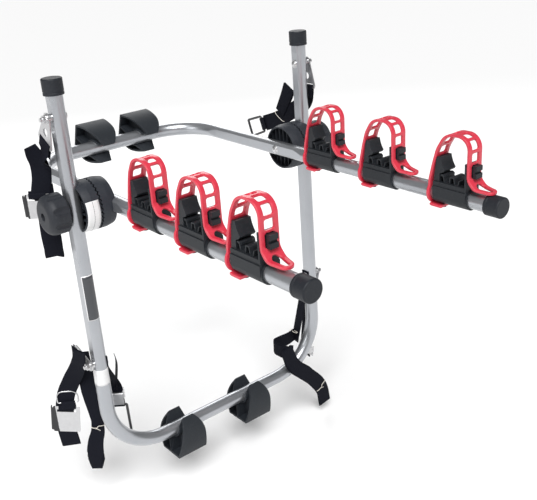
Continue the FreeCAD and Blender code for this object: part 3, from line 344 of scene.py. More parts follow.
def unit(vectors):
    """Each vector over its length."""
    return vectors / np.maximum(np.linalg.norm(vectors, axis=-1, keepdims=True), 1e-12)


def distance_along(points):
    """Length walked from the first point to each point of a path."""
    return np.concatenate([[0], np.cumsum(np.linalg.norm(np.diff(points, axis=0), axis=1))])


def smooth_line(stations, step):
    """Smooth curve through the stations: each span is the Hermite cubic whose end slopes are half the chord
    between a station's two neighbours. The rows are about step apart, and every column goes alike."""
    s = np.asarray(stations, dtype=float)
    before = np.vstack([2 * s[0] - s[1], s[:-1]])
    after = np.vstack([s[1:], 2 * s[-1] - s[-2]])
    slope = (after - before) / 2
    rows = []
    for k in range(len(s) - 1):
        count = max(2, int(math.ceil(np.linalg.norm(s[k + 1, :3] - s[k, :3]) / step)))
        t = np.arange(count)[:, None] / count
        rows.append(
            (2 * t**3 - 3 * t**2 + 1) * s[k] + (t**3 - 2 * t**2 + t) * slope[k]
            + (3 * t**2 - 2 * t**3) * s[k + 1] + (t**3 - t**2) * slope[k + 1]
        )
    return np.vstack(rows + [s[-1:]])


def webbing_section(width, thickness):
    """Flat strip's outline as offsets across and out: two long faces joined by half rounds."""
    half = width / 2 - thickness / 2
    face = np.linspace(-half, half, 9)
    turn = np.linspace(-math.pi / 2, math.pi / 2, 5)[1:-1]
    r = np.full(len(face), thickness / 2)
    right = np.stack([half + r[0] * np.cos(turn), r[0] * np.sin(turn)], axis=1)
    return np.vstack([np.stack([face, -r], axis=1), right, np.stack([face[::-1], r], axis=1), -right])


def carry(name, section, centres, across, widths=None):
    """Closed solid of a section carried along a path: point = centre + a across + b out, where out is
    across x forward and forward is the path's slope. widths scales a row by row. Ends are capped."""
    forward = unit(np.gradient(centres, axis=0))
    across = unit(across - forward * np.sum(across * forward, axis=1, keepdims=True))
    out = np.cross(across, forward)
    scale = np.ones(len(centres)) if widths is None else widths
    a = section[None, :, 0, None] * scale[:, None, None]
    b = section[None, :, 1, None]
    grid = centres[:, None, :] + a * across[:, None, :] + b * out[:, None, :]
    n, m = grid.shape[:2]
    walked = distance_along(centres)
    uv = np.stack(np.broadcast_arrays(section[None, :, 0], walked[:, None]), axis=-1) * MM
    faces = [tuple(q[::-1]) for q in grid_faces(n, m, wrap=True)]
    faces.append(tuple(range(m)))
    faces.append(tuple(range((n - 1) * m, n * m))[::-1])
    return mesh_from(name, grid.reshape(-1, 3), faces, uv.reshape(-1, 2)), walked[-1]


def tube_section(radius, count):
    """Round outline of a wire as count offsets."""
    angle = np.arange(count) * 2 * math.pi / count
    return np.stack([radius * np.cos(angle), radius * np.sin(angle)], axis=1)


def facing_out(thing):
    """Turns a closed mesh's faces outwards if its signed volume is negative."""
    mesh = thing.data
    mesh.calc_loop_triangles()
    points = np.empty(len(mesh.vertices) * 3)
    mesh.vertices.foreach_get("co", points)
    points = points.reshape(-1, 3)
    corners = np.empty(len(mesh.loop_triangles) * 3, dtype=np.int32)
    mesh.loop_triangles.foreach_get("vertices", corners)
    a, b, c = (points[corners.reshape(-1, 3)[:, k]] for k in range(3))
    if np.sum(a * np.cross(b, c)) < 0:
        mesh.flip_normals()


# Webbing straps

# Widths of the main and side straps and of a loop drawn in by its ring, the webbing's thickness, and
# the spacing of the points along a tight loop
WEB = 38.0
SIDE_WEB = 25.0
RING_LOOP = 30.0
CLOTH = 1.4
FINE_STEP = 1.0

# A strap plate's middle plane is this far from the part's middle: post, spacer and half the plate.
# The slot's bar is this far from the plate's bolt.
SPACER_LENGTH = 7.0
PLATE_THICK = 2.5
PLATE_OUT = POST_X + POST_HALF_FLAT + SPACER_LENGTH + PLATE_THICK / 2
SLOT_DROP = 60.0


def web_strip(name, stations, width, cloth, step=3.0, widths=None):
    """One webbing strap through stations of place and width direction, six numbers each. widths holds pairs
    of a share of the length and the width's share there."""
    rows = smooth_line(stations, step)
    scale = None
    if widths is not None:
        scale = np.interp(np.linspace(0, 1, len(rows)), *zip(*widths))
    mesh, length = carry(name, webbing_section(width, CLOTH), rows[:, :3], unit(rows[:, 3:]), scale)
    strap = finished(name, mesh, cloth, "support_frame")
    facing_out(strap)
    return strap


def on_face(plan, spots, out=0.0):
    """Stations on the left straps' upright plane through plan, from pairs of place along it and height."""
    line = np.array(spots, dtype=float)
    return in_plane(np.array([*plan, 0.0]), FACE_RIGHT, FACE_FRONT, line, out)


def in_plane(origin, right, front, line, out=0.0):
    """Stations of a strap lying flat in a plane: place = origin + a right + z up + out front, and its width
    is the line's slope turned by a right angle in the plane."""
    slope = unit(np.gradient(line, axis=0))
    place = origin + line[:, :1] * right + line[:, 1:] * Z + out * front
    width = slope[:, 1:] * right - slope[:, :1] * Z
    return np.hstack([place, width])


def folded(origin, right, front, spots, gap, trims):
    """Stations of a strap folded to and fro along one line. Layer k lies k gap further out and waves a
    little, each end turns back in a half round, and trims holds what each layer is shorter at its two ends,
    so that the folds don't line up."""
    wave, wave_length, shift = 0.6, 23.0, 2.1
    line = smooth_line(np.array([[a, z, 0.0] for a, z in spots], dtype=float), 6.0)[:, :2]
    walked = distance_along(line)
    rows = []
    for k, (low, high) in enumerate(trims):
        d = np.linspace(low, walked[-1] - high, 14)
        spot = np.stack([np.interp(d, walked, line[:, 0]), np.interp(d, walked, line[:, 1])], axis=1)
        out = (k - (len(trims) - 1) / 2) * gap + wave * np.sin(d / wave_length + shift * k)
        flat = in_plane(origin, right, front, spot)
        flat[:, :3] += out[:, None] * front
        if k % 2:
            flat = flat[::-1]
        if rows:
            flat[:, 3:] *= np.sign(np.sum(flat[0, 3:] * rows[-1][-1, 3:]))
            last, first = rows[-1][-1], flat[0]
            way = unit((last[:3] - rows[-1][-2, :3])[None, :])[0]
            bulge = (last + first) / 2
            bulge[:3] += way * (gap * 0.9 + 1.0)
            rows.append(bulge[None, :])
        rows.append(flat)
    return np.vstack(rows)


def plate_slot(height, side, lean):
    """Middle of an anchor plate's slot, and the plate's directions out, up and across. lean is how far the
    plate is turned about its bolt, in degrees."""
    angle = math.radians(lean)
    up = np.array([0.0, -math.sin(angle), math.cos(angle)])
    across = np.array([0.0, math.cos(angle), math.sin(angle)])
    spot = np.array([side * PLATE_OUT, 0.0, height]) - up * SLOT_DROP
    return spot, np.array([float(side), 0.0, 0.0]), up, across


def round_slot_bar(plate, inner_tail, outer_tail):
    """Stations of a strap that comes up inside the plate, through its slot and down outside."""
    spot, out, up, across = plate
    side = [
        (-2.2, -inner_tail), (-2.2, -4.0), (-2.2, 3.0), (-2.1, 6.5), (-1.3, 8.6), (0.0, 9.3),
        (1.3, 8.6), (2.1, 6.5), (2.2, 3.0), (2.2, -4.0), (2.3, -outer_tail),
    ]
    return np.array([[*(spot + out * o + up * u), *across] for o, u in side])


def round_bar(middle, right, radius, tail, down):
    """Stations of a strap once round a bar that lies along right, both ends running on along down."""
    out = np.cross(right, down)
    angle = np.linspace(-math.pi / 2, math.pi / 2, 7)
    ring = [middle + out * radius * math.sin(a) - down * radius * math.cos(a) for a in angle]
    first = ring[0] + down * tail
    last = ring[-1] + down * tail
    return np.array([[*p, *right] for p in [first] + ring + [last]])


def loop_round_plate(name, spot, lean, cloth):
    """Strap once round the upper bar of a slotted hook plate, whose top middle is spot."""
    angle = math.radians(lean)
    right = FACE_RIGHT * math.cos(angle) - Z * math.sin(angle)
    up = FACE_RIGHT * math.sin(angle) + Z * math.cos(angle)
    side = [
        (-1.0, 6.0), (-1.0, 0.0), (-1.0, -6.5), (-0.4, -8.7), (1.0, -9.2), (2.4, -8.7),
        (3.0, -6.5), (3.0, -1.0), (2.4, 1.0), (1.0, 1.6), (-0.2, 1.2),
    ]
    stations = [[*(spot + FACE_FRONT * o + up * u), *right] for o, u in side]
    web_strip(name, stations, WEB - 4.0, cloth, FINE_STEP)


def upper_left_strap(cloth):
    """Strap from the upper left plate down through the hook plate's slot and up again, and its free end."""
    stations = list(round_slot_bar(plate_slot(180.0, -1, 28.0), 24.0, 12.0))
    stations += [
        [-319.5, 43.0, 102.0, 0.25, 0.80, 0.35],
        [-320.5, 51.5, 84.0, -0.55, 0.70, 0.10],
        [-322.0, 57.0, 62.0, *(-FACE_RIGHT)],
    ]
    tail = on_face(UPPER_LEFT_PLAN, [(14.0, 34.0), (14.0, -20.0), (15.0, -70.0), (13.5, -104.0)], 0.9)
    tail[:, 3:] = -FACE_RIGHT
    stations += list(tail)
    spots = [(14.0, -106.5), (14.0, -100.0), (12.5, -60.0), (15.0, 0.0), (16.0, 44.0)]
    back = on_face(UPPER_LEFT_PLAN, spots, -1.0)
    back[:, 3:] = -FACE_RIGHT
    back[0, :3] += FACE_FRONT
    stations += list(back)
    main = web_strip("strap_upper_left", stations, WEB, cloth)
    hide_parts("webbing_upper_left")

    spots = [(7.0, 123.0), (11.0, 107.0), (17.0, 84.0), (16.0, 58.0), (10.0, 30.0), (6.0, 12.0)]
    short = on_face(UPPER_LEFT_PLAN, spots, 3.0)
    short[:, :3] += np.outer([7.0, 4.5, 1.0, 0.0, 0.0, -1.0], FACE_FRONT)
    short[:, 3:] = unit(short[:, 3:] + np.outer([0.5, 0.3, 0.1, 0, 0, 0], FACE_FRONT))
    widths = [(0, 0.62), (0.15, 0.8), (0.4, 0.95), (1.0, 1.0)]
    web_strip("strap_end_upper_left", short, WEB, cloth, widths=widths)
    hook_spot = np.array([*UPPER_LEFT_PLAN, 26.0]) + FACE_RIGHT * UPPER_HOOK_ALONG + FACE_FRONT * 1.8
    loop_round_plate("loop_upper_left", hook_spot, 0.0, cloth)


def lower_left_strap(cloth):
    """Two folded bundles from the lower left plate, and the loops that hold its plate, hook and ring."""
    origin = np.array([*LOWER_LEFT_PLAN, 0.0])
    outer = [
        (38.0, -308.0), (34.0, -335.0), (21.0, -365.0), (3.0, -397.0), (-20.0, -445.0), (-30.0, -510.0),
        (-26.0, -570.0),
    ]
    stations = folded(origin, FACE_RIGHT, FACE_FRONT, outer, 2.0, [(0.0, 0.0), (3.0, 9.0), (6.0, 2.0)])
    height = stations[:, 2]
    out = np.interp(height, [-440.0, -397.0, -365.0, -335.0, -308.0], [0.0, 8.0, 22.0, 39.5, 44.0])
    stations[:, :3] += np.outer(out, FACE_FRONT)
    turned = np.interp(height, [-400.0, -345.0], [0.0, 1.0])[:, None]
    level = -np.sign(stations[:, 4:5]) * np.array([0.35, -0.93, 0.0])
    stations[:, 3:] = unit((1 - turned) * stations[:, 3:] + turned * level)
    widths = [(0.0, 0.86), (0.2, 0.98), (0.33, 1.06), (0.5, 0.96), (0.66, 0.88), (0.8, 1.0), (1.0, 1.08)]
    main = web_strip(
        "strap_lower_left", stations, WEB, cloth, widths=widths
    )
    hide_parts("webbing_lower_left")

    inner = [(30.0, -338.0), (34.0, -440.0), (39.0, -525.0), (26.0, -575.0), (20.0, -639.0)]
    widths = [
        (0.0, 0.85), (0.13, 0.95), (0.2, 0.68), (0.3, 1.0), (0.335, 0.5), (0.37, 1.0), (0.46, 0.68),
        (0.55, 0.9), (0.66, 0.85), (0.78, 0.92), (0.86, 0.68), (0.96, 1.0), (1.0, 0.5),
    ]
    trims = [(0, 0), (8, 4), (3, 12)]
    stations = folded(origin - FACE_FRONT * 1.5, FACE_RIGHT, FACE_FRONT, inner, 2.3, trims)
    web_strip("strap_fold_lower_left", stations, WEB, cloth, widths=widths)
    stations = round_slot_bar(plate_slot(-340.0, -1, 92.0), 13.0, 13.0)
    web_strip("loop_anchor_lower_left", stations, WEB, cloth, FINE_STEP)
    hook_spot = origin + FACE_RIGHT * LOWER_HOOK_ALONG + Z * -466.0 + FACE_FRONT * 2.6
    loop_round_plate("loop_hook_lower_left", hook_spot, 7.0, cloth)
    ring = round_bar(origin + FACE_RIGHT * -15.0 + Z * -456.0 + FACE_FRONT * 4.2, FACE_RIGHT, 2.6, 16.0, -Z)
    web_strip("loop_ring_lower_left", ring, RING_LOOP, cloth, FINE_STEP)


def upper_right_strap(cloth):
    """Strap from the upper right plate out to its wire ring, a folded bundle on it and the ring's loop."""
    plane = np.array([318.7, 0.0, 0.0])
    stations = list(round_slot_bar(plate_slot(180.0, 1, 0.0), 22.0, 4.0))
    run = np.array([(2.0, 108.0), (5.0, 96.0), (17.0, 82.0), (46.0, 66.0), (107.0, 34.0), (168.0, 12.0)])
    flat = in_plane(plane, Y, X, run)
    flat[:, 3:] *= np.sign(flat[0, 4])
    stations += list(flat)
    main = web_strip("strap_upper_right", stations, WEB, cloth)
    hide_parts("webbing_upper_right")

    fold = [(66.0, 114.0), (82.0, 86.0), (104.0, 50.0)]
    stations = folded(plane, Y, X, fold, 1.8, [(0, 0), (4, 3), (1, 5), (6, 1)])
    widths = [(0, 1.0), (0.24, 0.8), (0.5, 1.0), (0.75, 0.8), (1.0, 0.95)]
    web_strip("strap_fold_upper_right", stations, WEB, cloth, widths=widths)
    way = unit(np.array([[0.0, 67.0, -24.2]]))[0]
    bar = np.array([318.7, 174.0, 9.8]) + way * 4.0
    ring = round_bar(bar, np.array([0.0, -way[2], way[1]]), 4.0, 14.0, -way)
    web_strip("loop_upper_right", ring, RING_LOOP, cloth, FINE_STEP)


def lower_right_strap(cloth):
    """Strap from the lower right plate, hanging a little off the plumb line to its cam buckle."""
    lean = math.radians(9.0)
    down = np.array([0.0, math.sin(lean), -math.cos(lean)])
    top = np.array([318.5, 30.0, -395.96])
    across = np.array([0.0, math.cos(lean), math.sin(lean)])
    stations = list(round_slot_bar(plate_slot(-340.0, 1, 30.0), 26.0, 10.0))
    for d in (28.0, 60.0, 110.0, 160.0, 211.0):
        stations.append([*(top + down * d + X * 0.5 * math.sin(d / 30.0)), *across])
    main = web_strip("strap_lower_right", stations, WEB, cloth)
    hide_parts("webbing_lower_right")


def side_left_strap(cloth):
    """Narrow strap from the left post's inner side to its cam buckle, the ring's loop and the free end."""
    seat = np.array([-248.9, 36.5, -438.0])
    start = np.array([-281.2, 0.0, -327.5])
    stations = [
        [*start, 0, 1, 0], [*(start - Z * 12.0), 0, 1, 0], [-280.6, 2.0, -352.0, 0, 1, 0],
        [-272.0, 12.0, -380.0, -0.35, 0.9, 0], [-258.0, 28.0, -414.0, -0.7, 0.68, 0],
        [*seat, *(-FACE_RIGHT)], [*(seat - Z * 20.0), *(-FACE_RIGHT)], [*(seat - Z * 38.0), *(-FACE_RIGHT)],
    ]
    main = web_strip("strap_side_left", stations, SIDE_WEB, cloth)
    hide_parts("webbing_side_left")
    ring = round_bar(seat - Z * 46.0, FACE_RIGHT, 4.1, 12.0, Z)
    web_strip("loop_side_left", ring, SIDE_WEB, cloth, FINE_STEP)
    tip = on_face(seat[:2], [(0, -440.0), (3.0, -415.0), (7.5, -388.0), (9.0, -370.0), (7.0, -357.0)])
    tip[:, 3:] = FACE_FRONT * 0.93 + FACE_RIGHT * 0.3
    tip[:, :3] += FACE_FRONT * 1.5
    widths = [(0, 1.0), (0.8, 1.0), (1.0, 0.6)]
    web_strip("strap_end_side_left", tip, SIDE_WEB, cloth, widths=widths)


def side_right_strap(cloth):
    """Narrow strap from the right post's inner side, two turns round the lower bend and a folded tail."""
    start = np.array([281.2, 0.0, -327.5])
    stations = [
        [*start, 0, 1, 0], [*(start - Z * 14.0), 0, 1, 0], [280.4, 3.0, -362.0, 0, 1, 0],
        [274.0, 22.0, -450.0, 0, 1, 0], [269.0, 36.0, -515.0, 0, 1, 0], [267.0, 39.0, -534.0, 0, 1, 0],
    ]
    main = web_strip("strap_side_right", stations, SIDE_WEB, cloth)
    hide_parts("webbing_side_right")
    wrap_width = 33.0
    wrap = np.array([
        (278.0, 43.0), (262.0, 38.0), (238.0, 31.0), (206.0, 30.0), (188.0, 27.0),
        (180.5, 16.0), (180.0, 2.0), (181.5, -14.0), (190.0, -24.0), (206.0, -26.0),
    ])
    stations = [[x, y, -512.0 - 0.04 * (x - 180.0), 0, 0, 1] for x, y in wrap]
    web_strip("strap_wrap_side_right", stations, wrap_width, cloth)
    stations = [[x + 2.0, y + 2.6, -511.0 - 0.05 * (x - 180.0), 0.05, 0, 1] for x, y in wrap[1:-1]]
    web_strip("strap_wrap_under_side_right", stations, wrap_width, cloth)
    front = [(184.0, -500.0), (206.0, -556.0), (250.0, -602.0), (290.0, -655.0), (303.0, -711.0)]
    stations = folded(np.array([0.0, -25.0, 0.0]), X, -Y, front, 2.1, [(0, 0), (5, 9), (2, 3)])
    widths = [
        (0, 0.9), (0.15, 1.05), (0.24, 0.85), (0.33, 0.95), (0.45, 0.9), (0.6, 1.05), (0.75, 0.85),
        (0.9, 1.05), (1.0, 0.95),
    ]
    web_strip("strap_tail_side_right", stations, WEB, cloth, widths=widths)


def make_webbing(cloth):
    """The six straps, each as the folded strips that it is made of."""
    upper_left_strap(cloth)
    lower_left_strap(cloth)
    upper_right_strap(cloth)
    lower_right_strap(cloth)
    side_left_strap(cloth)
    side_right_strap(cloth)


def make_ties(wire):
    """Thin wire ties: an oval once round a bundle, its two ends twisted and standing off."""
    wire_radius = 0.75
    turn_points = 40
    slant = unit(np.array([[0.0, 0.85, 0.5]]))[0]
    slant_across = unit(np.array([[0.85, 0.0, 0.5]]))[0]
    fold_middle = np.array([*LOWER_LEFT_PLAN, -524.0]) + FACE_RIGHT * 39.0
    bundles = [
        ("tie_lower_left", fold_middle, FACE_RIGHT, FACE_FRONT, 14.5, 6.0, 10.0),
        ("tie_upper_right", np.array([318.7, 107.0, 38.0]), slant, X, 18.5, 6.0, 8.0),
        ("tie_side_right", np.array([290.0, -25.0, -652.0]), slant_across, -Y, 18.5, 5.0, 8.0),
        ("tie_lower_right", np.array([262.0, 38.0, -505.0]), Y, -X, 14.5, 4.5, 9.0),
    ]
    for name, middle, right, front, wide, deep, tail in bundles:
        up = np.cross(front, right)
        angle = np.linspace(0.52 * math.pi, 2.48 * math.pi, turn_points)
        a = wide * np.sign(np.cos(angle)) * np.abs(np.cos(angle)) ** 0.6
        b = deep * np.sign(np.sin(angle)) * np.abs(np.sin(angle)) ** 0.8
        rise = np.linspace(-2.5, 2.5, turn_points)
        ring = middle + a[:, None] * right + b[:, None] * front + rise[:, None] * up
        lead = ring[0] + np.array([[0.7, 0.8], [0.35, 0.3]]) @ np.array([up * -tail, right * tail])
        trail = ring[-1] + np.array([[0.3, 0.3], [0.8, 0.7]]) @ np.array([up * -tail, right * -tail])
        path = np.vstack([lead, ring, trail])
        across = unit(np.cross(np.gradient(path, axis=0), np.broadcast_to(up + right * 0.3, path.shape)))
        mesh, _ = carry(name, tube_section(wire_radius, 8), path, across)
        facing_out(finished(name, mesh, wire, "support_frame"))


# Rubber straps

STRAP_WIDTH = 36.0
STRAP_THICK = 5.0
STRAP_COLUMNS = 9

# Line where a strap bends when it opens: place along the arm and height, from its saddle's middle
HINGE = np.array([28.2, 56.0])

# The saddle that the strap lies round: its sleeve's play on the tube and wall, its reach to the strap
# behind and in front, and the height where the strap leans in; the gap is between the strap and what
# it lies on
SLEEVE_PLAY = 0.1
SLEEVE_WALL = 3.5
SADDLE_REAR = 33.5
SADDLE_FRONT = 48.0
LEAN_FROM = 24.0
GAP = 0.3

# Windows of the strap, how far the last one reaches before and past the peg, and the places in front
# of the saddle's middle where the finger tab starts and ends
WINDOW_PITCH = 22.6
WINDOW_COUNT = 6
PEG_REACH = 14.0
TAB_START = 55.0
TAB_END = 98.0


def rounded_path(points, radii, step=0.5):
    """Dense points of a flat path: straight runs with a tangent arc of the given radius at each corner."""
    p = np.asarray(points, dtype=float)
    runs = [p[:1]]
    for k in range(1, len(p) - 1):
        into = unit((p[k] - p[k - 1])[None, :])[0]
        away = unit((p[k + 1] - p[k])[None, :])[0]
        turn = math.atan2(into[0] * away[1] - into[1] * away[0], float(into @ away))
        if abs(turn) < 1e-4:
            continue
        radius = radii[k - 1]
        reach = radius * math.tan(abs(turn) / 2)
        hand = math.copysign(1.0, turn)
        centre = p[k] - into * reach + np.array([-into[1], into[0]]) * hand * radius
        spoke = p[k] - into * reach - centre
        angle = np.linspace(0, turn, max(3, int(radius * abs(turn) / step)))
        c, s = np.cos(angle)[:, None], np.sin(angle)[:, None]
        runs.append(centre + c * spoke + s * np.array([-spoke[1], spoke[0]]))
    runs.append(p[-1:])
    line = np.vstack(runs)
    return line, distance_along(line)


def hole_outline(way, half_w, half_d, corner):
    """Where rays from a rounded rectangle's middle along way meet its outline."""
    dx, dy = np.abs(way[:, 0]) + 1e-9, np.abs(way[:, 1]) + 1e-9
    t = np.minimum(half_w / dx, half_d / dy)
    cx, cy = half_w - corner, half_d - corner
    over = (dx * t > cx) & (dy * t > cy)
    aa = dx**2 + dy**2
    bb = dx * cx + dy * cy
    cc = cx**2 + cy**2 - corner**2
    arc = (bb + np.sqrt(np.maximum(bb**2 - aa * cc, 0))) / aa
    return way * np.where(over, arc, t)[:, None]


def ring_patch(outer, inner, steps):
    """Patch between two closed outlines of as many points: point = (1 - t) outer + t inner."""
    t = np.linspace(0, 1, steps)[:, None, None]
    grid = (1 - t) * outer[None, :, :] + t * inner[None, :, :]
    return grid.reshape(-1, 2), grid_faces(steps, len(outer), wrap=True)


def cell_outline(low, high):
    """Outline of a stretch of strap, counter-clockwise, as across and along, with the grid's columns."""
    half = STRAP_WIDTH / 2
    w = np.linspace(-half, half, STRAP_COLUMNS)
    rise = np.linspace(low, high, max(3, int((high - low) / 3.2) + 1))[1:-1]
    return np.vstack([
        np.stack([w, np.full(len(w), low)], axis=1),
        np.stack([np.full(len(rise), half), rise], axis=1),
        np.stack([w[::-1], np.full(len(w), high)], axis=1),
        np.stack([np.full(len(rise), -half), rise[::-1]], axis=1),
    ])


def plain_patch(low, high):
    """Stretch of strap with no hole."""
    half = STRAP_WIDTH / 2
    rows = max(2, int((high - low) / 3.0) + 1)
    w, d = np.meshgrid(np.linspace(-half, half, STRAP_COLUMNS), np.linspace(low, high, rows))
    return np.stack([w, d], axis=-1).reshape(-1, 2), grid_faces(rows, STRAP_COLUMNS)


def hole_patch(low, high, middle, half_w, half_d, corner):
    """Stretch of strap with a rounded window."""
    outline = cell_outline(low, high)
    centre = np.array([0.0, middle])
    return ring_patch(outline, centre + hole_outline(outline - centre, half_w, half_d, corner), 4)


def tab_patch(start, narrow_from, end):
    """Finger tab in plan, as across and reach: sides that narrow to a round tip, with a teardrop hole that
    is the union of circles whose radius falls evenly from the wide end to the point."""
    outline = cell_outline(start, end)
    tip_radius = 13.0
    wide_end, point_end, wide_radius, point_radius = 67.0, 87.0, 9.0, 5.0
    tip = np.array([0.0, end - tip_radius])
    ray = outline - tip
    far = outline[:, 1] > tip[1] + 1e-6
    outline = np.where(far[:, None], tip + unit(ray) * tip_radius, outline)
    side = (~far) & (np.abs(outline[:, 0]) > STRAP_WIDTH / 2 - 1e-6)
    share = np.clip((outline[:, 1] - narrow_from) / (tip[1] - narrow_from), 0, 1)
    narrow = STRAP_WIDTH / 2 - (STRAP_WIDTH / 2 - tip_radius) * share
    outline[side, 0] = np.sign(outline[side, 0]) * narrow[side]
    centre = np.array([0.0, 75.0])
    ray = unit(outline - centre)
    t = np.linspace(0.5, 28.0, 400)
    probe = centre + ray[:, None, :] * t[None, :, None]
    along = np.clip((probe[..., 1] - wide_end) / (point_end - wide_end), 0, 1)
    core = wide_end + along * (point_end - wide_end)
    radius = wide_radius - (wide_radius - point_radius) * along
    inside = np.hypot(probe[..., 0], probe[..., 1] - core) < radius
    reach = t[np.maximum(inside.sum(axis=1) - 1, 0)]
    return ring_patch(outline, centre + ray * reach[:, None], 4)


def strap_line():
    """Middle line of a rubber strap round its saddle as place along the arm and height, the length walked
    at each point, and the places of the line's upright stretches behind and in front of the saddle."""
    under = -(TUBE_RADIUS + SLEEVE_PLAY + SLEEVE_WALL + GAP + STRAP_THICK / 2)
    beside = SADDLE_REAR + GAP + STRAP_THICK / 2
    lean = unit((HINGE - np.array([beside, LEAN_FROM]))[None, :])[0]
    bend = HINGE + lean * 5.0
    front = -(SADDLE_FRONT + GAP + STRAP_THICK / 2)
    points = [
        (8.0, under), (beside, under), (beside, LEAN_FROM), tuple(HINGE), tuple(bend), (19.0, 87.0),
        (0.0, 117.0), (-51.5, 117.0), (front, 84.0), (front, 40.0), (front - 13.0, 25.6), (-TAB_END, 22.6),
    ]
    line, walked = rounded_path(points, [12.0, 60.0, 60.0, 60.0, 60.0, 30.0, 24.0, 60.0, 18.0, 18.0])
    return line, walked, beside, front


def strap_surface():
    """Middle surface of one strap about its saddle's middle: the windowed band, the finger tab, the lip
    under the tube and the ring round it, each as patches of points and quads."""
    line, walked, beside, front = strap_line()
    peg_height = 55.0
    ring_top = 20.0
    on_front = (line[:, 0] < front + 0.01) & (line[:, 1] > 45.0)
    to_peg = float(np.interp(-peg_height, -line[on_front][:, 1], walked[on_front]))
    rising = (line[:, 0] > beside - 0.3) & (line[:, 1] > -8.0) & (line[:, 1] < 30.0)
    start = float(np.interp(ring_top, line[rising][:, 1], walked[rising]))
    tail = (line[:, 1] < 40.0) & (line[:, 0] < front - 0.01)
    reach = -line[tail][:, 0]
    tab_start = float(np.interp(TAB_START, reach, walked[tail]))

    edge = to_peg - (WINDOW_COUNT + 0.6) * WINDOW_PITCH
    band = [plain_patch(start, edge)]
    for i in range(WINDOW_COUNT, 0, -1):
        middle = to_peg - (i + 0.1) * WINDOW_PITCH
        high = middle + WINDOW_PITCH / 2 if i > 1 else to_peg - PEG_REACH
        band.append(hole_patch(edge, high, middle, 9.5, 8.75, 3.0))
        edge = high
    peg_end = to_peg + PEG_REACH + 1.0
    band.append(hole_patch(edge, peg_end, to_peg, 10.0, 12.0, 3.0))
    band.append(plain_patch(peg_end, tab_start))
    tab = tab_patch(TAB_START, 12.0 - front, TAB_END)

    # The lip runs from its pin hole under the tube to half way round its bend
    lip_start, hole_end, lip_height, lip_bend, half_bend = 8.0, 15.0, -22.3, 6.0, 4.7
    low_points = [(lip_start, lip_height), (beside, lip_height), (beside, -8.0)]
    low, low_walked = rounded_path(low_points, [lip_bend])
    lip = [
        hole_patch(0.0, hole_end, 8.0, 3.3, 3.3, 3.25),
        plain_patch(hole_end, beside - lip_start - lip_bend + half_bend),
    ]
    points, faces, count = [], [], 0
    groups = [(band, line, walked), ([tab], line[tail], reach), (lip, low, low_walked)]
    for patches, way, gone in groups:
        for spots, quads in patches:
            y = np.interp(spots[:, 1], gone, way[:, 0])
            z = np.interp(spots[:, 1], gone, way[:, 1])
            points.append(np.stack([spots[:, 0], y, z], axis=1))
            faces.append(quads + count)
            count += len(spots)

    half = STRAP_WIDTH / 2
    top = np.linspace(-half, half, STRAP_COLUMNS)
    radius = 23.0
    meet = math.asin(half / radius)
    arc = np.linspace(math.pi / 2 - meet, -1.5 * math.pi + meet, 34)
    outer = np.vstack([
        np.stack([top, np.full(STRAP_COLUMNS, ring_top)], axis=1),
        np.stack([radius * np.cos(arc), radius * np.sin(arc)], axis=1),
    ])
    inner = unit(outer) * (TUBE_RADIUS + GAP)
    ring, quads = ring_patch(outer[::-1], inner[::-1], 4)
    points.append(np.stack([ring[:, 0], np.full(len(ring), beside), ring[:, 1]], axis=1))
    faces.append(quads + count)
    return np.vstack(points), np.vstack(faces)


def make_straps(rubber):
    """Six ladder straps. A flat pattern in across and along is laid on the strap's line:
    place = (across, line(along)), thickened and its edges rounded."""
    points, faces = strap_surface()
    for name, side in SIDES.items():
        for number, middle in enumerate(CRADLE_Y[name], start=1):
            label = name + "_" + str(number)
            mesh = mesh_from("rubber_strap_" + label, points + np.array([side * ARM_X, middle, 0.0]), faces)
            strap = finished("rubber_strap_" + label, mesh, rubber, None)
            solid_strap(strap)
            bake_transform(strap)
            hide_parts("strap_band_" + label, "strap_flap_" + label)


def solid_strap(strap):
    """Merges the patches' shared edges, gives the strap its thickness and rounds its edges."""
    work = bmesh.new()
    work.from_mesh(strap.data)
    bmesh.ops.remove_doubles(work, verts=work.verts, dist=0.00015)
    bmesh.ops.recalc_face_normals(work, faces=work.faces)
    work.to_mesh(strap.data)
    work.free()
    thick = strap.modifiers.new("thickness", "SOLIDIFY")
    thick.thickness = STRAP_THICK * MM
    thick.offset = 0.0
    thick.use_even_offset = True
    rounding = strap.modifiers.new("rounding", "BEVEL")
    rounding.width = 0.9 * MM
    rounding.segments = 2
    rounding.limit_method = "ANGLE"
    rounding.angle_limit = math.radians(50)
    settle(strap)


def settle(thing):
    """Applies the modifiers and shades the mesh smooth."""
    graph = bpy.context.evaluated_depsgraph_get()
    mesh = bpy.data.meshes.new_from_object(thing.evaluated_get(graph))
    thing.modifiers.clear()
    thing.data = mesh
    mesh.polygons.foreach_set("use_smooth", [True] * len(mesh.polygons))
    mesh.update()


# Labels

LABEL_THICK = 0.12
LABEL_LIFT = 0.14


def curved_label(name, place, rows, columns, material):
    """Thin film on a surface: place(u, v) gives points for shares u and v from 0 to 1."""
    v, u = np.meshgrid(np.linspace(0, 1, rows), np.linspace(0, 1, columns), indexing="ij")
    points = place(u, v).reshape(-1, 3)
    mesh = mesh_from(name, points, grid_faces(rows, columns), np.stack([u, v], axis=-1).reshape(-1, 2))
    label = finished(name, mesh, material, "support_frame")
    skin = label.modifiers.new("film", "SOLIDIFY")
    skin.thickness = LABEL_THICK * MM
    skin.offset = 0.0
    settle(label)
    facing_out(label)


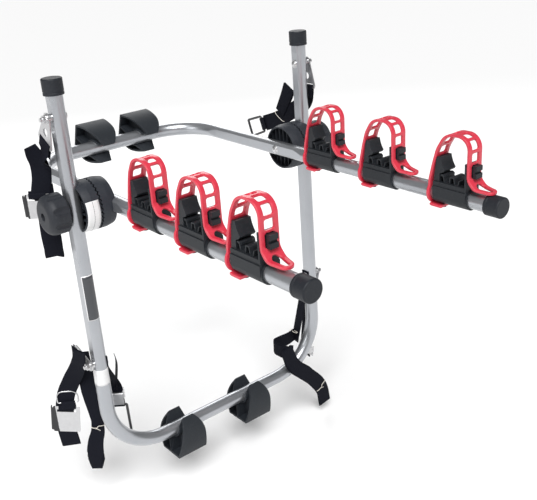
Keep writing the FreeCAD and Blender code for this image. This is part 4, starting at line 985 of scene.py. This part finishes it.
def make_labels():
    """Dark sticker with a pale rim and a white band on the left post, and a white label on its hub."""
    r = TUBE_RADIUS + LABEL_LIFT

    def on_post(u, v):
        """On the round tube's wall: an angle by u and a height by v."""
        angle = np.radians(-143.0 + 106.0 * u)
        return np.stack([-POST_X + r * np.cos(angle), r * np.sin(angle), -236.0 + 99.0 * v], axis=-1)

    def band(u, v):
        """Once round the post where its flat sides run out: a circle cut off at the half width there."""
        angle = np.radians(-270.0 + 360.0 * u)
        z = -390.0 + 37.0 * v
        flat_end, run_out = -372.0, 28.0
        half = POST_HALF_FLAT + 2.9 * np.clip((flat_end - z) / run_out, 0, 1) + LABEL_LIFT
        x = np.clip(r * np.cos(angle), -half, half)
        return np.stack([-POST_X + x, r * np.sin(angle), z], axis=-1)

    def on_hub(u, v):
        """On the hub's wall, whose radius falls as a quadratic of the place past its rim."""
        angle = np.radians(-68.0 + 92.0 * v)
        x = -263.5 - 26.0 * u
        rim_x, rim_radius = -276.1, 51.0
        d = np.maximum(rim_x - x, 0)
        wall = rim_radius - 0.155 * d - 0.003 * d**2 + LABEL_LIFT
        return np.stack([x, -wall * np.cos(angle), wall * np.sin(angle)], axis=-1)

    dark = film("dark sticker", (0.045, 0.048, 0.055), (0.80, 0.80, 0.81), 0.06, 0.018)
    white = film("white label", (0.80, 0.80, 0.80), (0.86, 0.86, 0.86), 0.03, 0.01)
    curved_label("sticker_left_post", on_post, 12, 16, dark)
    curved_label("band_left_post", band, 10, 72, white)
    curved_label("label_left_hub", on_hub, 24, 6, white)


# Materials of the CAD pieces

def dress_frame():
    """Gives each CAD piece the finish of the first rule that its name starts with."""
    silver = silver_paint()
    cap = moulded("black cap", (0.010, 0.012, 0.016), (0.018, 0.021, 0.027), 0.40, 1400.0, 0.00005)
    hub = moulded("charcoal hub", (0.018, 0.021, 0.027), (0.030, 0.034, 0.043), 0.40, 1300.0, 0.00006)
    knob = moulded("charcoal knob", (0.016, 0.018, 0.023), (0.028, 0.031, 0.038), 0.42, 1500.0, 0.00006)
    saddle = moulded("black saddle", (0.010, 0.012, 0.015), (0.020, 0.023, 0.028), 0.38, 1600.0, 0.00005)
    pad = moulded("black pad", (0.011, 0.014, 0.018), (0.022, 0.026, 0.032), 0.42, 1200.0, 0.00006)
    zinc = plated_steel("zinc plate", (0.70, 0.70, 0.71), 0.22)
    plate = plated_steel("bright plate", (0.66, 0.66, 0.67), 0.24)
    # Each hook plate is dipped up to the edge where its hook leaves it: its middle less its half width
    upper_half, lower_half = 21.0, 24.0
    edge_upper = float(np.array(UPPER_LEFT_PLAN) @ FACE_RIGHT[:2] + UPPER_HOOK_ALONG - upper_half) * MM
    edge_lower = float(np.array(LOWER_LEFT_PLAN) @ FACE_RIGHT[:2] + LOWER_HOOK_ALONG - lower_half) * MM
    hook_upper = plated_steel("hook plate upper", (0.66, 0.66, 0.67), 0.22, edge_upper)
    hook_lower = plated_steel("hook plate lower", (0.68, 0.68, 0.69), 0.20, edge_lower)
    dip = dipped_wire()
    rules = [
        ("post_frame_tube", silver), ("arm_frame_tube", silver), ("post_cap", cap), ("arm_cap", cap),
        ("hub", hub), ("knob_insert", zinc), ("knob", knob), ("pivot", zinc), ("anchor_plate", plate),
        ("anchor", zinc), ("cradle", saddle), ("lower_pad", pad), ("upper_pad", pad),
        ("hook_upper_left", hook_upper), ("hook_lower_left", hook_lower), ("hook", dip),
        ("buckle", plate), ("cam", plate),
    ]
    for name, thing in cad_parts.items():
        for start, material in rules:
            if name.startswith(start):
                thing.data.materials.clear()
                thing.data.materials.append(material)
                break


# Camera, light and floor

def make_stage():
    """Camera as fitted to the photograph, a broad sun, two lamps, a pale room and a pale floor. The room
    looks pale to the camera and lights the part only weakly."""
    right = Vector((0.77116, -0.63324, -0.06571))
    up = Vector((0.29519, 0.26420, 0.91818))
    back = Vector((-0.56407, -0.72746, 0.39067))
    place = Vector((-0.9119, -1.3963, 0.5138))
    turn = Matrix((right, up, back)).transposed().to_4x4()
    lens = bpy.data.cameras.new("camera")
    lens.sensor_width = 36.0
    lens.lens = 54.668
    lens.clip_start = 0.01
    lens.clip_end = 200.0
    camera = bpy.data.objects.new("camera", lens)
    camera.matrix_world = Matrix.Translation(place) @ turn
    bpy.context.scene.collection.objects.link(camera)
    bpy.context.scene.camera = camera

    sun = bpy.data.lights.new("key", "SUN")
    sun.energy = 3.3
    sun.angle = math.radians(36)
    lamp = bpy.data.lights.new("side", "AREA")
    lamp.size = 1.2
    lamp.energy = 14.0
    rear = bpy.data.lights.new("rear", "AREA")
    rear.size = 1.6
    rear.energy = 26.0
    for light, spot in ((sun, (-1.6, -2.2, 3.4)), (lamp, (-2.6, -0.2, 0.9)), (rear, (1.7, 2.6, 1.4))):
        thing = bpy.data.objects.new(light.name, light)
        thing.location = spot
        thing.rotation_mode = "QUATERNION"
        thing.rotation_quaternion = (-Vector(spot)).to_track_quat("-Z", "Y")
        bpy.context.scene.collection.objects.link(thing)

    world = bpy.data.worlds.new("pale room")
    world.use_nodes = True
    sky = world.node_tree.nodes["Background"]
    sky.inputs[0].default_value = (1.0, 1.0, 1.0, 1.0)
    seen = world.node_tree.nodes.new("ShaderNodeLightPath")
    strength = world.node_tree.nodes.new("ShaderNodeMapRange")
    strength.inputs["To Min"].default_value = 0.24
    strength.inputs["To Max"].default_value = 0.97
    world.node_tree.links.new(seen.outputs["Is Camera Ray"], strength.inputs["Value"])
    world.node_tree.links.new(strength.outputs[0], sky.inputs[1])
    bpy.context.scene.world = world
    bpy.context.scene.view_settings.view_transform = "Standard"

    reach = 60.0
    level = -0.735
    corners = [(-reach, -reach, level), (reach, -reach, level), (reach, reach, level), (-reach, reach, level)]
    mesh = bpy.data.meshes.new("floor")
    mesh.from_pydata(corners, [], [(0, 1, 2, 3)])
    floor = bpy.data.objects.new("floor", mesh)
    bpy.context.scene.collection.objects.link(floor)
    paper = Finish("pale floor", roughness=0.9, base_color=(0.93, 0.93, 0.93))
    floor.data.materials.append(paper.material)


make_stage()
dress_frame()
make_straps(red_rubber())
make_webbing(webbing("black webbing", (0.0025, 0.003, 0.006), (0.010, 0.011, 0.018)))
make_ties(tie_wire())
make_labels()
